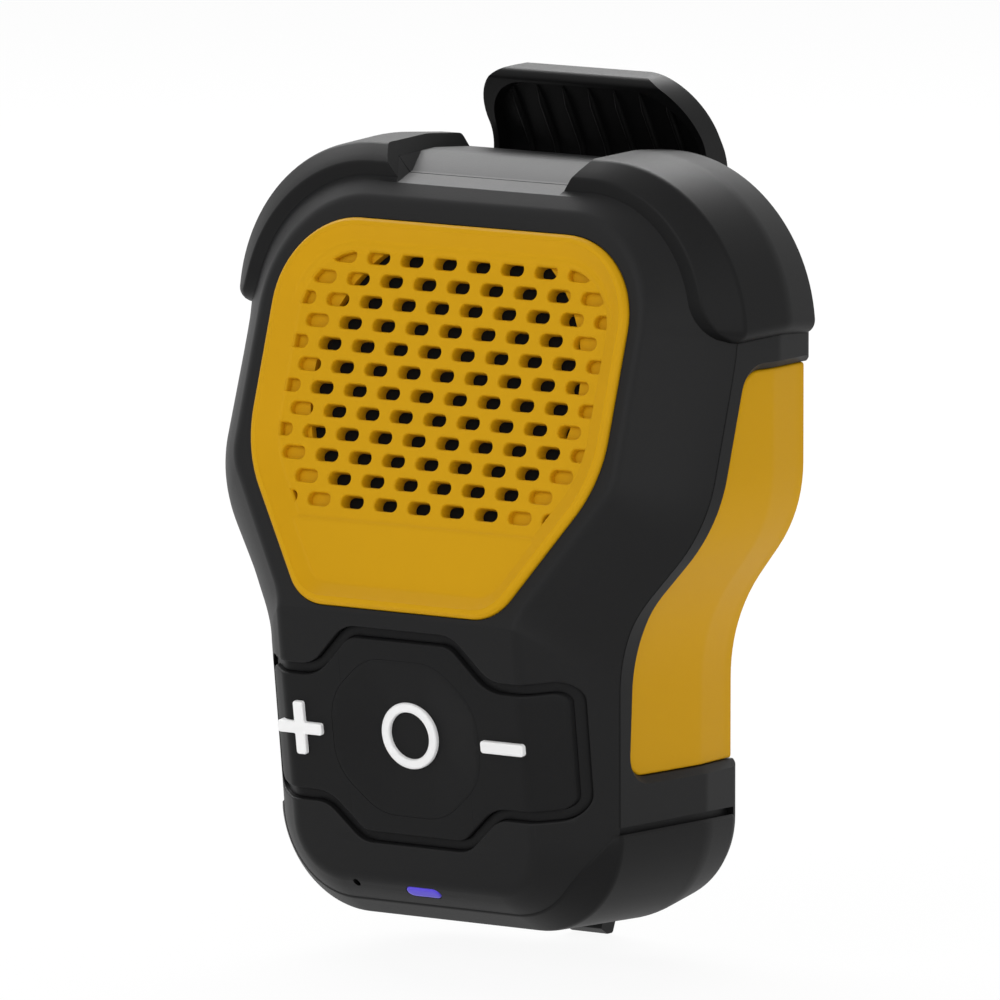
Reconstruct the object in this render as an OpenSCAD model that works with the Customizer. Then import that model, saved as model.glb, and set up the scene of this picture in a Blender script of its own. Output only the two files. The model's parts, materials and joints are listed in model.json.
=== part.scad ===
// Wearable clip-on bluetooth speaker, one module for each sub-part, millimetres.
// x runs to the right of the grille, y to the back, z up; the clip tip stands on z = 0.

/* [Body] */
// half-width of the shoulders at the parting edge
body_half = 38; // [37.6:0.1:38.4]
// side of the waist beside the keypad opening
waist_margin = 2.3; // [2.1:0.1:2.6]
// height of the parting edge at the top
body_top = 100; // [99.6:0.1:100.6]
// depth of the back face behind the key face
back_y = 34.3; // [34:0.1:34.8]
// height of the main key centre
key_z = 29.4; // [29.2:0.1:29.6]
// lean of the key face in degrees
lean_low = 8; // [7.6:0.1:8.4]
// lean of the grille face in degrees
lean_up = 16.85; // [16.5:0.05:17.2]
// wall of the front housing
front_wall = 2; // [1.8:0.1:2.2]
// wall round the rear housing
rear_wall = 3.8; // [3.6:0.1:4]

/* [Bumpers and panels] */
// thickness of the shoulder bumpers
shoulder_t = 1.7; // [1.4:0.1:2]
// thickness of the bottom bumper
bottom_t = 1; // [0.8:0.1:1.2]
// depth of the side panel face below the side
panel_sink = 1; // [0.8:0.05:1.1]
// thickness of the side panels
panel_t = 1.4; // [1.2:0.05:1.5]

/* [Grille and driver] */
// half-width of the grille
grille_half = 27.6; // [27.2:0.1:27.8]
// black border beside the grille
rim_margin = 2.1; // [1.9:0.1:2.3]
// height of the grille face above the front face
grille_proud = 0.8; // [0.6:0.05:1]
// distance between slots along a row
slot_pitch = 5.23; // [5.1:0.01:5.3]
// distance between rows of slots
row_pitch = 2.826; // [2.76:0.01:2.86]
// length of a slot
slot_l = 3.5; // [3.2:0.1:3.7]
// height of a slot
slot_h = 1.6; // [1.4:0.05:1.7]
// radius of the sound opening behind the grille
sound_r = 19.8; // [19.4:0.1:20]

/* [Keys] */
// half-width of the keypad opening
pad_half = 24.1; // [23.9:0.05:24.3]
// width of the groove round the keys
groove_w = 1.4; // [1.2:0.05:1.5]
// travel of the keys
key_travel = 0.6; // [0.4:0.05:0.6]
// depth of the dish in the main key
dish = 1.2; // [0.8:0.1:1.4]
// height of the raised marks
mark_up = 0.9; // [0.6:0.05:1]

/* [Clip] */
// half-width of the clip arm at the top
clip_half = 17.3; // [17:0.1:17.5]
// diameter of the clip pin
pin_d = 3; // [2.8:0.1:3.1]
// running clearance of the clip on its pin
pin_gap = 0.05; // [0.03:0.01:0.08]
// wire radius of the clip spring
wire_r = 0.35; // [0.3:0.05:0.4]

/* [Hidden] */
$fn = 48;
seam = 0.15;
knee_z = key_z + 15.1;
knee_y = -(knee_z - key_z) * tan(lean_low);
axis_z = knee_z + 28.8;
axis_y = knee_y + (axis_z - knee_z) * tan(lean_up);
crown = 0.6;
facet_x = 7.8;
waist_half = pad_half + waist_margin;
rim_half = grille_half + rim_margin;
facet_depth = 9.9;
edge_low_y = 9.3;
shoulder_y = 18.3;
side_y = back_y - 8;
edge_foot = 5.4;
drop = 2.4;
back_wall = 2.2;
rim_r = 5.5;
rim_dx = rim_half - waist_half + facet_x;
rim_rise = 16.3;
rim_hip = knee_z + rim_r * tan(atan2(rim_dx, rim_rise) / 2);

// corners of the front rim, the parting edge, the side and the back, from the foot up
rim_c = [
    [waist_half - facet_x, key_z - 18.9, 6.5],
    [waist_half - facet_x, rim_hip, rim_r],
    [rim_half, rim_hip + rim_rise, 6],
    [rim_half, body_top - 4.8, 14]];
edge_c = [
    [waist_half - 0.6, edge_foot, 13],
    [waist_half + 0.8, key_z + 13.7, 22],
    [body_half, key_z + 28, 18],
    [body_half, body_top, 20]];
side_c = [
    [waist_half + 1, edge_foot - 0.2, 13],
    [waist_half + 1.2, key_z + 13.7, 22],
    [body_half + 0.6, key_z + 28, 18],
    [body_half + 0.6, body_top + 0.4, 20]];
back_c = [
    [waist_half + 0.1, edge_foot + 1.5, 11],
    [waist_half + 0.1, key_z + 13.7, 22],
    [body_half - 0.3, key_z + 28, 18],
    [body_half - 0.3, body_top - 0.1, 20]];
mid_c = (rim_c + edge_c) / 2;

// clip: pivot, faces and the shift that centres the depth of the whole part
pivot_y = back_y + 4.8;
pivot_z = body_top - 15.6;
clip_front = back_y + 6.6;
clip_rear = back_y + 11;
grille_foot = -29.05;
front_most = axis_y + (grille_foot + 0.6) * sin(lean_up) - grille_proud * cos(lean_up);
y_shift = -(front_most + clip_rear) / 2;

function unit(v) = v / norm(v);
function mid(a, b) = (a + b) / 2;
function left_of(v) = [-v[1], v[0]];
function flat2(p) = [p[0], p[1]];

// points of the rounded corner b between its neighbours a and c
function arc_at(a, b, c, n) =
    let (p = flat2(b),
        u = unit(flat2(a) - p),
        v = unit(flat2(c) - p),
        half = acos(u * v) / 2,
        m = p + unit(u + v) * b[2] / sin(half),
        s = p + u * b[2] / tan(half) - m,
        e = p + v * b[2] / tan(half) - m,
        a0 = atan2(s[1], s[0]),
        d = atan2(e[1], e[0]) - a0,
        turn = d > 180 ? d - 360 : d < -180 ? d + 360 : d)
    [for (i = [0:n]) m + b[2] * [cos(a0 + turn * i / n), sin(a0 + turn * i / n)]];

// corner p moved in by t, its radius kept concentric
function moved(a, p, b, t) =
    let (n1 = left_of(unit(flat2(p) - flat2(a))),
        n2 = left_of(unit(flat2(b) - flat2(p))),
        q = flat2(p) + (n1 + n2) * t / (1 + n1 * n2),
        turn = n1[0] * n2[1] - n1[1] * n2[0])
    [q[0], q[1], turn > 0 ? max(p[2] - t, 0.4) : p[2] + t];

function inset(c, t, low = 0) =
    let (k = len(c) - 1)
    [for (i = [0:k])
        let (a = i == 0 ? [0, c[0][1]] : c[i - 1],
            b = i == k ? [0, c[k][1]] : c[i + 1],
            q = moved(a, c[i], b, t))
        [q[0], i == k ? q[1] - low : q[1], q[2]]];

// right half of a body outline, 33 points from the foot to the top
function half_outline(c) =
    let (a = arc_at([0, c[0][1]], c[0], c[1], 8),
        b = arc_at(c[0], c[1], c[2], 4),
        d = arc_at(c[1], c[2], c[3], 4),
        e = arc_at(c[2], c[3], [0, c[3][1]], 10))
    concat(a, [mid(a[8], b[0])], b, [mid(b[4], d[0])], d, [mid(d[4], e[0])], e);

// right half of any rounded outline
function half_poly(c, n = 6) =
    let (k = len(c) - 1)
    [for (i = [0:k])
        let (a = i == 0 ? [0, c[0][1]] : c[i - 1],
            b = i == k ? [0, c[k][1]] : c[i + 1])
        each arc_at(a, c[i], b, n)];
function both(h) = concat(h, [for (i = [len(h) - 1:-1:0]) [-h[i][0], h[i][1]]]);
function closed_poly(c, n = 6) =
    let (k = len(c))
    [for (i = [0:k - 1]) each arc_at(c[(i + k - 1) % k], c[i], c[(i + 1) % k], n)];

function front_low(z) = -(z - key_z) * tan(lean_low);
function front_up(z) = knee_y + (z - knee_z) * tan(lean_up);
function front_y(z) = z < knee_z ? front_low(z) : front_up(z);
function edge_low(z) = edge_low_y - (z - key_z + 6.4) * 0.055;
function edge_y(z) = min(max(front_up(z) + facet_depth, edge_low(z)), shoulder_y);

// half rings of the shell at depth t below the outside
function rim_ring(t) =
    [for (p = half_outline(inset(rim_c, 0.5 * t))) [p[0], front_y(p[1]) + 1.02 * t, p[1]]];
function edge_ring(t, low = 0, dy = 0) =
    [for (p = half_outline(inset(edge_c, t, low))) [p[0], edge_y(p[1]) + 0.32 * t + dy, p[1]]];
function mid_ring(t, low = 0, dy = 0) =
    let (f = half_outline(rim_c),
        e = half_outline(edge_c),
        m = half_outline(inset(mid_c, 0.81 * (t - crown), low)))
    [for (i = [0:len(m) - 1])
        let (y = (front_y(f[i][1]) + edge_y(e[i][1])) / 2)
        [m[i][0], y + 0.59 * (t - crown) + dy, m[i][1]]];
function level_ring(c, t, y, low = 0) =
    [for (p = half_outline(inset(c, t, low))) [p[0], y, p[1]]];

function ring(h) = concat(h, [for (i = [len(h) - 1:-1:0]) [-h[i][0], h[i][1], h[i][2]]]);

// skin over half rings and their mirror image, capped at both ends or closed round
module loft(halves, closed = false) {
    m = len(halves[0]);
    n = 2 * m;
    k = len(halves);
    e = (k - 1) * n;
    points = [for (h = halves) each ring(h)];
    sides = [for (s = [0:closed ? k - 1 : k - 2], i = [0:n - 1])
        let (j = (i + 1) % n,
            u = (s + 1) % k,
            a = s * n + i,
            b = s * n + j,
            c = u * n + j,
            d = u * n + i)
        each (i < m ? [[a, b, c], [a, c, d]] : [[a, b, d], [b, c, d]])];
    front = closed ? [] : [for (i = [0:m - 2])
        each [[i, n - 1 - i, n - 2 - i], [i, n - 2 - i, i + 1]]];
    back = closed ? [] : [for (i = [0:m - 2])
        each [[e + i, e + n - 2 - i, e + n - 1 - i], [e + i, e + i + 1, e + n - 2 - i]]];
    polyhedron(points, concat(sides, front, back));
}

function quad(a, b, c, d, other = false) =
    other ? [[a, b, d], [b, c, d]] : [[a, b, c], [a, c, d]];

// sheet between outer and inner points, stations s by levels j; flip turns the first diagonals
module band(outer, inner, flip = 0) {
    n = len(outer);
    m = len(outer[0]);
    q = n * m;
    faces = concat(
        [for (s = [0:n - 2], j = [0:m - 2])
            let (a = s * m + j, b = a + m, c = b + 1, d = a + 1)
            each concat(quad(a, b, c, d, j < flip), quad(q + d, q + c, q + b, q + a, j >= flip))],
        [for (s = [0:n - 2])
            let (a = s * m, b = a + m)
            each concat(quad(a, q + a, q + b, b),
                quad(a + m - 1, b + m - 1, q + b + m - 1, q + a + m - 1))],
        [for (j = [0:m - 2])
            let (e = (n - 1) * m + j)
            each concat(quad(j, j + 1, q + j + 1, q + j), quad(e + 1, e, q + e, q + e + 1))]);
    polyhedron(concat([for (s = outer) each s], [for (s = inner) each s]), faces);
}

// points of several half rings gathered by station
function stations(rings, list) = [for (i = list) [for (r = rings) r[i]]];
function centred(s) = [for (p = s) [0, p[1], p[2]]];
function between(a, b, f) = [for (j = [0:len(a) - 1]) a[j] + (b[j] - a[j]) * f];

// sheet of the lower front from depth t0 to depth t1, wrapped onto both facets
module lower_skin(t0, t1) {
    function rows(t) =
        let (f = rim_ring(t), m = mid_ring(t), e = edge_ring(t))
        [for (i = [5:14])
            let (w = [e[i], m[i], f[i]])
            concat([for (p = w) [-p[0], p[1], p[2]]], [f[i], m[i], e[i]])];
    band(rows(t0), rows(t1), 2);
}

module place() translate([0, y_shift, 0]) children();
module low() translate([0, 0, key_z]) rotate([90 + lean_low, 0, 0]) children();
module up() translate([0, axis_y, axis_z]) rotate([90 - lean_up, 0, 0]) children();
module along_x(x0, x1) translate([x0, 0, 0]) rotate([90, 0, 90]) linear_extrude(x1 - x0) children();
module along_y(y0, y1) translate([0, y1, 0]) rotate([90, 0, 0]) linear_extrude(y1 - y0) children();
module rod_x(x0, x1, r) translate([x0, 0, 0]) rotate([0, 90, 0]) cylinder(h = x1 - x0, r = r);
module rod_y(y0, y1, r) translate([0, y0, 0]) rotate([-90, 0, 0]) cylinder(h = y1 - y0, r = r);
module slab(h, z0, z1) translate([0, 0, z0]) linear_extrude(z1 - z0) polygon(both(h));
module tube(r1, r0, z0, z1) translate([0, 0, z0]) difference() {
    cylinder(h = z1 - z0, r = r1);
    translate([0, 0, -1]) cylinder(h = z1 - z0 + 2, r = r0);
}
module box(a, b) translate(a) cube(b - a);
module twin() { children(); mirror([1, 0, 0]) children(); }

// frustum in a face frame, from inset t0 at height n0 down to inset t1 at height n1
function face_ring(c, t, n) = [for (p = half_poly(inset(c, t))) [p[0], -n, p[1]]];
module steps(rings) rotate([-90, 0, 0]) loft(rings);

// grille outline and what follows from it
grille_top = 20.17;
grille_hip = -10.55;
grille_foot_half = grille_half - 12.45;
grille_c = [
    [grille_foot_half, grille_foot, 4],
    [grille_half, grille_hip, 6],
    [grille_half + 0.05, grille_top, 11.5]];
function grille_x(w) =
    w > grille_hip ? grille_half : grille_half - 12.45 * (grille_hip - w) / (grille_hip - grille_foot);
flange_n = -1.2;
boss_n = -4;
baffle_n = boss_n - 3;
field_n = -0.7;
skin_n = field_n - 2;
field_low = -21.5;
field_c = [[grille_x(field_low), field_low, 3], grille_c[1], grille_c[2]];
boss_low = -22.4;
boss_c = [[grille_x(boss_low), boss_low, 3], grille_c[1], grille_c[2]];
field_h = half_poly(inset(field_c, 3.8), 8);

// half-width of the slotted field at height w
function field_x(w) =
    max([for (i = [0:len(field_h) - 2])
        let (a = field_h[i], b = field_h[i + 1])
        a[1] <= w && w <= b[1] && b[1] > a[1] ?
            a[0] + (b[0] - a[0]) * (w - a[1]) / (b[1] - a[1]) : 0]);
function circle_x(w) = sqrt(max(0, sound_r * sound_r - w * w));
function slot_points(x, w) =
    let (r = slot_h / 2, e = slot_l / 2 - r)
    concat([for (i = [-2:2]) [x + e + r * cos(45 * i), w + r * sin(45 * i)]],
        [for (i = [2:6]) [x - e + r * cos(45 * i), w + r * sin(45 * i)]]);
function held(x, lim) = min(max(x, -lim), lim);
slot_rows = 12;
slot_list = [for (k = [0:slot_rows - 1], i = [-5:5])
    let (x = (i + (k % 2 == 0 ? 0.5 : 0)) * slot_pitch, w = 15.36 - k * row_pitch)
    if (abs(x) - slot_l / 2 + 0.9 < min(field_x(w + slot_h / 2), field_x(w - slot_h / 2))) [x, w]];

module slots_2d(inner) {
    for (s = slot_list)
        if (!inner || abs(s[0]) - slot_l / 2 + 0.5 < circle_x(abs(s[1]) + slot_h / 2))
            polygon([for (p = slot_points(s[0], s[1]))
                [held(p[0], inner ? circle_x(p[1]) - 0.02 : field_x(p[1])), p[1]]]);
}

// keypad outline in the key-face frame
pad_c = [
    [8.3, -14.2, 4],
    [13.4, -9.5, 4],
    [pad_half, -9.5, 3],
    [pad_half, 8.3, 3],
    [13.9, 8.3, 4.5],
    [8.4, 13.8, 4.5]];
key_c = [[5, -10.3, 4], [11.4, -4.8, 4], [11.4, 4.5, 4], [5.4, 9.9, 4]];
key_gap = 0.2;
pad_back = 2.85;

// notch under the clip tab
module notch() {
    z0 = 97 + body_top - 100;
    a = 19.01;
    b = -0.469;
    intersection() {
        polyhedron(
            [for (z = [z0 - 4, z0 + 14], p = [[-1, 9], [1, 9], [1, 40], [-1, 40]])
                [p[0] * (a + b * p[1] + z - z0), p[1], z]],
            [[0, 1, 2], [0, 2, 3], [4, 6, 5], [4, 7, 6], [0, 5, 1], [0, 4, 5],
             [1, 6, 2], [1, 5, 6], [2, 7, 3], [2, 6, 7], [3, 4, 0], [3, 7, 4]]);
        along_x(-40, 40) polygon([[8, z0 - 2.5], [14.53, z0], [17.43, z0 + 1.1], [29.13, z0 + 2.8],
            [40, z0 + 2.8], [40, z0 + 13], [8, z0 + 13]]);
    }
}

// housing screw places: x, z and the depth where the two bosses meet
boss_list = [[grille_half - 2.6, axis_z + 14.6, 19], [grille_half - 7.1, axis_z - 19.4, 16]];
screw_in = 3.4;
driver_r = sound_r + 2.6;
magnet_r = sound_r - 7.8;
roll_r = sound_r - 3.6;
screw_ring = driver_r - 1.4;
post_list = [[16.5, 12.3], [12.6, -16.1]];
board_n = -9;
board_t = 1.2;
led_z = key_z - 19.9;
led_y = 3.97;
mic_x = -10.2;
port_y = 15.2;
port_half = 5.6;
cover_half = 7;
hinge_y = port_y + 5.2;
hinge_z = edge_foot - bottom_t + 0.9;

module front_housing() {
    color("#242424") place() difference() {
        union() {
            loft([rim_ring(0), mid_ring(0), edge_ring(0),
                edge_ring(front_wall, drop), mid_ring(front_wall, drop / 2), rim_ring(front_wall)]);
            up() slab(half_poly(inset(boss_c, -1)), baffle_n, -1.2);
            twin() for (b = boss_list)
                translate([b[0], 0, b[1]]) rod_y(front_up(b[1]) + 1.2, b[2], 3);
            twin() for (p = post_list)
                low() translate([p[0], p[1], board_n]) cylinder(h = -board_n - 1.2, r = 2);
        }
        up() slab(half_poly(inset(grille_c, -0.1)), flange_n - 0.05, 6);
        up() slab(half_poly(inset(boss_c, 0.7)), boss_n - 0.05, 6);
        up() translate([0, 0, baffle_n - 1]) cylinder(h = 8, r = sound_r - 0.8);
        up() for (a = [45:90:315]) rotate(a)
            translate([screw_ring, 0, baffle_n - 1]) cylinder(h = 3, r = 0.8);
        low() slab(half_poly(pad_c), -14, 8);
        twin() for (b = boss_list)
            translate([b[0], 0, b[1]]) rod_y(b[2] - screw_in - 0.2, b[2] + 1, 1.1);
        twin() for (p = post_list)
            low() translate([p[0], p[1], board_n - 1]) cylinder(h = 5, r = 0.8);
        notch();
        led_shape(0.05, 6);
        translate([mic_x, 0, led_z + 0.3]) rod_y(-2, 14, 0.75);
    }
}

module rear_housing() {
    w = rear_wall;
    color("#262626") place() difference() {
        union() {
            loft([level_ring(back_c, w, back_y - back_wall, drop),
                level_ring(side_c, w, side_y, drop), edge_ring(w, drop, seam),
                edge_ring(0, 0, seam), level_ring(side_c, 0, side_y),
                level_ring(back_c, 0, back_y - 1.2), level_ring(back_c, 1.2, back_y)]);
            twin() for (b = boss_list)
                translate([b[0], 0, b[1]]) rod_y(b[2] + 0.1, back_y - 1, 3);
            twin() box([battery_half + 0.2, back_y - 7, battery_z + 3],
                [battery_half + 1.7, back_y - back_wall + 0.5, battery_z + battery_h - 3]);
            box([-10, back_y - 7, battery_z - 1.7],
                [10, back_y - back_wall + 0.5, battery_z - 0.2]);
        }
        twin() for (b = boss_list) translate([b[0], 0, b[1]]) {
            rod_y(b[2] - 1, back_y + 1, 1.35);
            rod_y(back_y - 2, back_y + 1, 2.4);
        }
        twin() panel_shape(-1, panel_sink + panel_t + 0.05, 0, back_y + 3);
        notch();
        box([-port_half, port_y - 2.6, 0], [port_half, port_y + 2.6, 14]);
        cover_room(0.15);
        for (s = screw_list) translate([s[0], 0, s[1]]) rod_y(back_y - 2, back_y + 1, 0.9);
    }
}

module housing_seal() {
    color("#1a1a1a") place() loft([
        edge_ring(front_wall + 1, drop, -0.85), edge_ring(front_wall + 0.3, drop, -0.1),
        edge_ring(rear_wall - 0.5, drop, -0.1), edge_ring(rear_wall - 0.5, drop, -0.85)], true);
}

module housing_screws() {
    color("#8c8f93") place() twin() for (b = boss_list) translate([b[0], 0, b[1]]) difference() {
        union() {
            rod_y(b[2] - screw_in, back_y - 1.9, 1.1);
            rod_y(back_y - 2, back_y - 0.5, 2.2);
        }
        rotate([-90, 0, 0]) translate([0, 0, back_y - 1.2]) cylinder(h = 2, r = 1.1, $fn = 6);
    }
}

// shoulder bumper on the right side
module shoulder_shape() {
    t = shoulder_t;
    inner = [mid_ring(0), edge_ring(0), level_ring(side_c, 0, side_y), level_ring(back_c, 0, back_y - 1.2)];
    outer = [mid_ring(-0.8 * t, 0, 0.7), edge_ring(-t),
        level_ring(side_c, -t, side_y), level_ring(back_c, -t, back_y - 1.2)];
    i_s = stations(inner, [22:32]);
    o_s = stations(outer, [22:32]);
    difference() {
        band(concat([between(i_s[0], o_s[0], 0.2), between(o_s[0], o_s[1], 0.5)],
                [for (i = [1:10]) o_s[i]], [centred(o_s[10])]),
            concat([i_s[0], between(i_s[0], i_s[1], 0.5)],
                [for (i = [1:10]) i_s[i]], [centred(i_s[10])]));
        notch();
        corner_cut(inner[0][22], inner[1][22]);
    }
}

// rounds the lower front corner of a shoulder bumper on the facet from p to q
module corner_cut(p, q) {
    r = 5;
    translate(p) rotate([90, 0, atan2(q[1] - p[1], q[0] - p[0])])
        translate([0, 0, -3]) linear_extrude(6) difference() {
            translate([-3, -3]) square(r + 3);
            translate([r, r]) circle(r);
        }
}

module shoulder_bumper_right() color("#202020") place() shoulder_shape();
module shoulder_bumper_left() color("#202020") place() mirror([1, 0, 0]) shoulder_shape();

module bottom_bumper() {
    t = bottom_t;
    fade = [0, 0, 0, 0, 0, 0.02, 0.12, 0.32, 0.75];
    inner = [mid_ring(0), edge_ring(0), level_ring(side_c, 0, side_y), level_ring(back_c, 0, back_y - 1.2)];
    outer = [mid_ring(-0.15 * t), edge_ring(-t), level_ring(side_c, -t, side_y),
        level_ring(back_c, -t, back_y - 1.2)];
    function eased(list) = [for (i = [0:8])
        let (s = list[i]) concat([s[0] + (s[1] - s[0]) * fade[i]], [for (j = [1:3]) s[j]])];
    i_s = eased(stations(inner, [0:8]));
    o_s = eased(stations(outer, [0:8]));
    function whole(list) = concat(
        [for (i = [8:-1:0]) [for (p = list[i]) [-p[0], p[1], p[2]]]], list);
    color("#202020") place() difference() {
        band(whole(o_s), whole(i_s));
        cover_room(0.25);
        box([-port_half, port_y - 2.6, 0], [port_half, port_y + 2.6, 14]);
    }
}

// side panel or its pocket on the right side, from depth t0 to t1, grown by g, up to depth y1
module panel_shape(t0, t1, g, y1) {
    function rows(t) = stations([edge_ring(t, 0, seam), level_ring(side_c, t, side_y),
        level_ring(back_c, t, back_y), level_ring(back_c, t + 0.4, back_y + 3)], [8:22]);
    y0 = edge_low_y + 2.7 - g;
    z0 = key_z - 4.3 - g;
    z1 = key_z + 46.8 + g;
    intersection() {
        band(rows(t0), rows(t1));
        along_x(15, 45) polygon(concat([[y1, z0]],
            arc_at([y1, z0], [y0, z0, 3], [y0, z0 + 22.1], 6),
            arc_at([y0, z0], [y0, z0 + 22.1, 12], [y0 + 8.8, z1], 6),
            arc_at([y0, z0 + 22.1], [y0 + 8.8, z1, 3.5], [y1, z1], 6),
            [[y1, z1]]));
    }
}

module side_panel_right()
    color("#c79a22") place() panel_shape(panel_sink, panel_sink + panel_t, -0.08, back_y - 0.5);
module side_panel_left()
    color("#c79a22") place() mirror([1, 0, 0])
        panel_shape(panel_sink, panel_sink + panel_t, -0.08, back_y - 0.5);

module grille() {
    logo_low = grille_foot;
    logo_c = [[grille_foot_half, logo_low, 4], [grille_x(-19.2), -19.2, 1]];
    color("#d9a41b") place() up() difference() {
        union() {
            steps([face_ring(grille_c, 0.6, grille_proud), face_ring(grille_c, 0, grille_proud - 0.6),
                face_ring(grille_c, 0, flange_n)]);
            slab(half_poly(inset(boss_c, 0.8)), boss_n, flange_n + 0.5);
        }
        steps([face_ring(field_c, 1.1, grille_proud + 0.06), face_ring(field_c, 3.8, field_n)]);
        steps([face_ring(logo_c, 2, grille_proud + 0.1), face_ring(logo_c, 2.5, grille_proud - 0.6)]);
        translate([0, 0, field_n - 1]) linear_extrude(1.5) slots_2d(false);
        translate([0, 0, skin_n - 0.5]) linear_extrude(1) slots_2d(true);
        translate([0, 0, boss_n - 1]) cylinder(h = skin_n - boss_n + 1, r = sound_r);
    }
}

module grille_cloth()
    color("#101010") place() up() translate([0, 0, skin_n - 0.4]) cylinder(h = 0.4, r = sound_r - 0.3);

module keypad() {
    color("#2a2a2a") place() intersection() {
        box([-40, -20, 0], [40, edge_low_y - 1.05, 60]);
        keypad_sheet();
    }
}

module keypad_sheet() {
    union() {
        difference() {
            intersection() {
                lower_skin(0.9, pad_back);
                low() slab(half_poly(inset(pad_c, 0.1)), -14, 6);
            }
            low() slab(half_poly(inset(pad_c, groove_w)), -16, 8);
        }
        difference() {
            intersection() {
                lower_skin(front_wall + 0.05, pad_back);
                low() slab(half_poly(inset(pad_c, -1.1)), -14, 6);
            }
            low() slab(half_poly(inset(pad_c, groove_w)), -16, 8);
        }
        difference() {
            intersection() {
                lower_skin(0, pad_back);
                low() slab(half_poly(inset(pad_c, groove_w - 0.12)), -14, 6);
                low() translate([-9.4, -30, -16]) cube([18.8, 60, 24]);
            }
            low() slab(half_poly(inset(key_c, -key_gap)), -16, 8);
        }
    }
}

module wing(s) {
    intersection() {
        lower_skin(0, 2.4);
        low() difference() {
            slab(half_poly(inset(pad_c, groove_w + 0.15)), -14, 6);
            slab(half_poly(inset(key_c, -key_gap)), -16, 8);
            translate([s > 0 ? -50.4 : -9.6, -30, -16]) cube([60, 60, 24]);
        }
    }
    low() translate([s * 15.9, 0, -4.75]) cylinder(h = 2.9, r = 1.2);
}

module key_plus() {
    color("#252525") place() difference() {
        wing(-1);
        low() translate([0, 0, -0.6]) plus_shape(2);
    }
}

module key_minus() {
    color("#252525") place() difference() {
        wing(1);
        low() translate([0, 0, -0.6]) minus_shape(2);
    }
}

module key_main() {
    r = (11 * 11 + dish * dish) / (2 * dish);
    color("#252525") place() difference() {
        union() {
            intersection() {
                lower_skin(0, 2.4);
                low() slab(half_poly(key_c), -14, 6);
            }
            low() translate([0, 0, -4.75]) cylinder(h = 2.9, r = 1.6);
        }
        low() translate([0, 0, r - dish]) sphere(r, $fn = 96);
        low() tube(4.4, 3.05, -dish - 0.4, 3);
    }
}

module pill(x, y) {
    r = min(x, y);
    square([2 * (x - r) + (x > y ? 0 : 2 * r), 2 * (y - r) + (y > x ? 0 : 2 * r)], center = true);
    for (s = [-1, 1]) translate([s * (x - r), s * (y - r)]) circle(r);
}
module plus_shape(h) translate([-15.9, 0, 0]) linear_extrude(h) {
    pill(3.45, 0.85);
    pill(0.85, 3.45);
}
module minus_shape(h) translate([15.9, 0, 0]) linear_extrude(h) pill(3.55, 0.82);

module plus_mark() color("#f2f2f2") place() low() translate([0, 0, -0.6]) plus_shape(0.6 + mark_up);
module minus_mark() color("#f2f2f2") place() low() translate([0, 0, -0.6]) minus_shape(0.6 + mark_up);
module ring_mark() color("#f2f2f2") place() low() tube(4.4, 3.05, -dish - 0.4, mark_up - dish);

// lozenge of the status light along the chin facet normal
module led_shape(g, d) {
    translate([0, led_y, led_z]) rotate([90 + 52, 0, 0]) translate([0, 0, -d])
        linear_extrude(d + 2) union() {
            square([4.3 + 2 * g, 1.1 + 2 * g], center = true);
            for (s = [-1, 1]) translate([s * 2.15, 0]) circle(0.55 + g);
        }
}
module led_lens() color("#6c5cf0") place() intersection() {
    led_shape(0, 5);
    box([-4, 0, led_z - 2], [4, 9, led_z + 6]);
    loft([rim_ring(-0.05), mid_ring(-0.05), edge_ring(0)]);
}

module driver_gasket() {
    color("#161616") place() up() difference() {
        tube(driver_r, sound_r - 0.5, baffle_n - 1, baffle_n);
        for (a = [45:90:315]) rotate(a)
            translate([screw_ring, 0, baffle_n - 2]) cylinder(h = 3, r = 0.8);
    }
}

module driver_basket() {
    n = baffle_n - 1;
    color("#3a3d40") place() up() difference() {
        rotate_extrude() polygon([[sound_r - 1.9, n], [driver_r, n], [driver_r, n - 1.2],
            [sound_r - 0.2, n - 1.2], [magnet_r + 1.8, n - 7], [magnet_r + 1.8, n - 8.7],
            [7.6, n - 8.7], [7.6, n - 7.7], [magnet_r + 0.4, n - 7.7], [magnet_r + 0.4, n - 6.4],
            [sound_r - 1.9, n - 1]]);
        for (a = [0:90:270]) rotate(a) translate([magnet_r + 3.6, -5, n - 6]) cube([6, 10, 4]);
        for (a = [45:90:315]) rotate(a) translate([screw_ring, 0, n - 2]) cylinder(h = 3, r = 0.8);
    }
}

module driver_surround() {
    n = baffle_n - 1;
    color("#141414") place() up() rotate_extrude() polygon(concat(
        [[roll_r + 2.9, n], [roll_r + 2.9, n + 0.4], [roll_r + 1.8, n + 0.4]],
        [for (a = [20:20:160]) [roll_r + 1.8 * cos(a), n + 0.4 + 1.8 * sin(a)]],
        [[roll_r - 1.8, n + 0.4], [roll_r - 3, n + 0.4], [roll_r - 3, n], [roll_r - 1.4, n]],
        [for (a = [160:-20:20]) [roll_r + 1.4 * cos(a), n + 0.3 + 1.4 * sin(a)]],
        [[roll_r + 1.4, n]]));
}

module driver_cone() {
    n = baffle_n - 1;
    color("#202225") place() up() rotate_extrude() polygon([[roll_r - 1.8, n], [roll_r - 3, n],
        [6.1, n - 4.6], [6.1, n - 5.2], [6.9, n - 5.2], [roll_r - 1.8, n - 0.5]]);
}

module dust_cap() {
    n = baffle_n - 5.6;
    color("#2c2e31") place() up() rotate_extrude() polygon(concat(
        [for (a = [0:15:90]) [6.1 * cos(a), n + 2.2 * sin(a)]],
        [for (a = [90:-15:0]) [5.7 * cos(a), n + 1.8 * sin(a)]]));
}

module voice_coil() color("#b46a3a") place() up() tube(6.1, 5.6, baffle_n - 10.8, baffle_n - 5.6);

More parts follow.
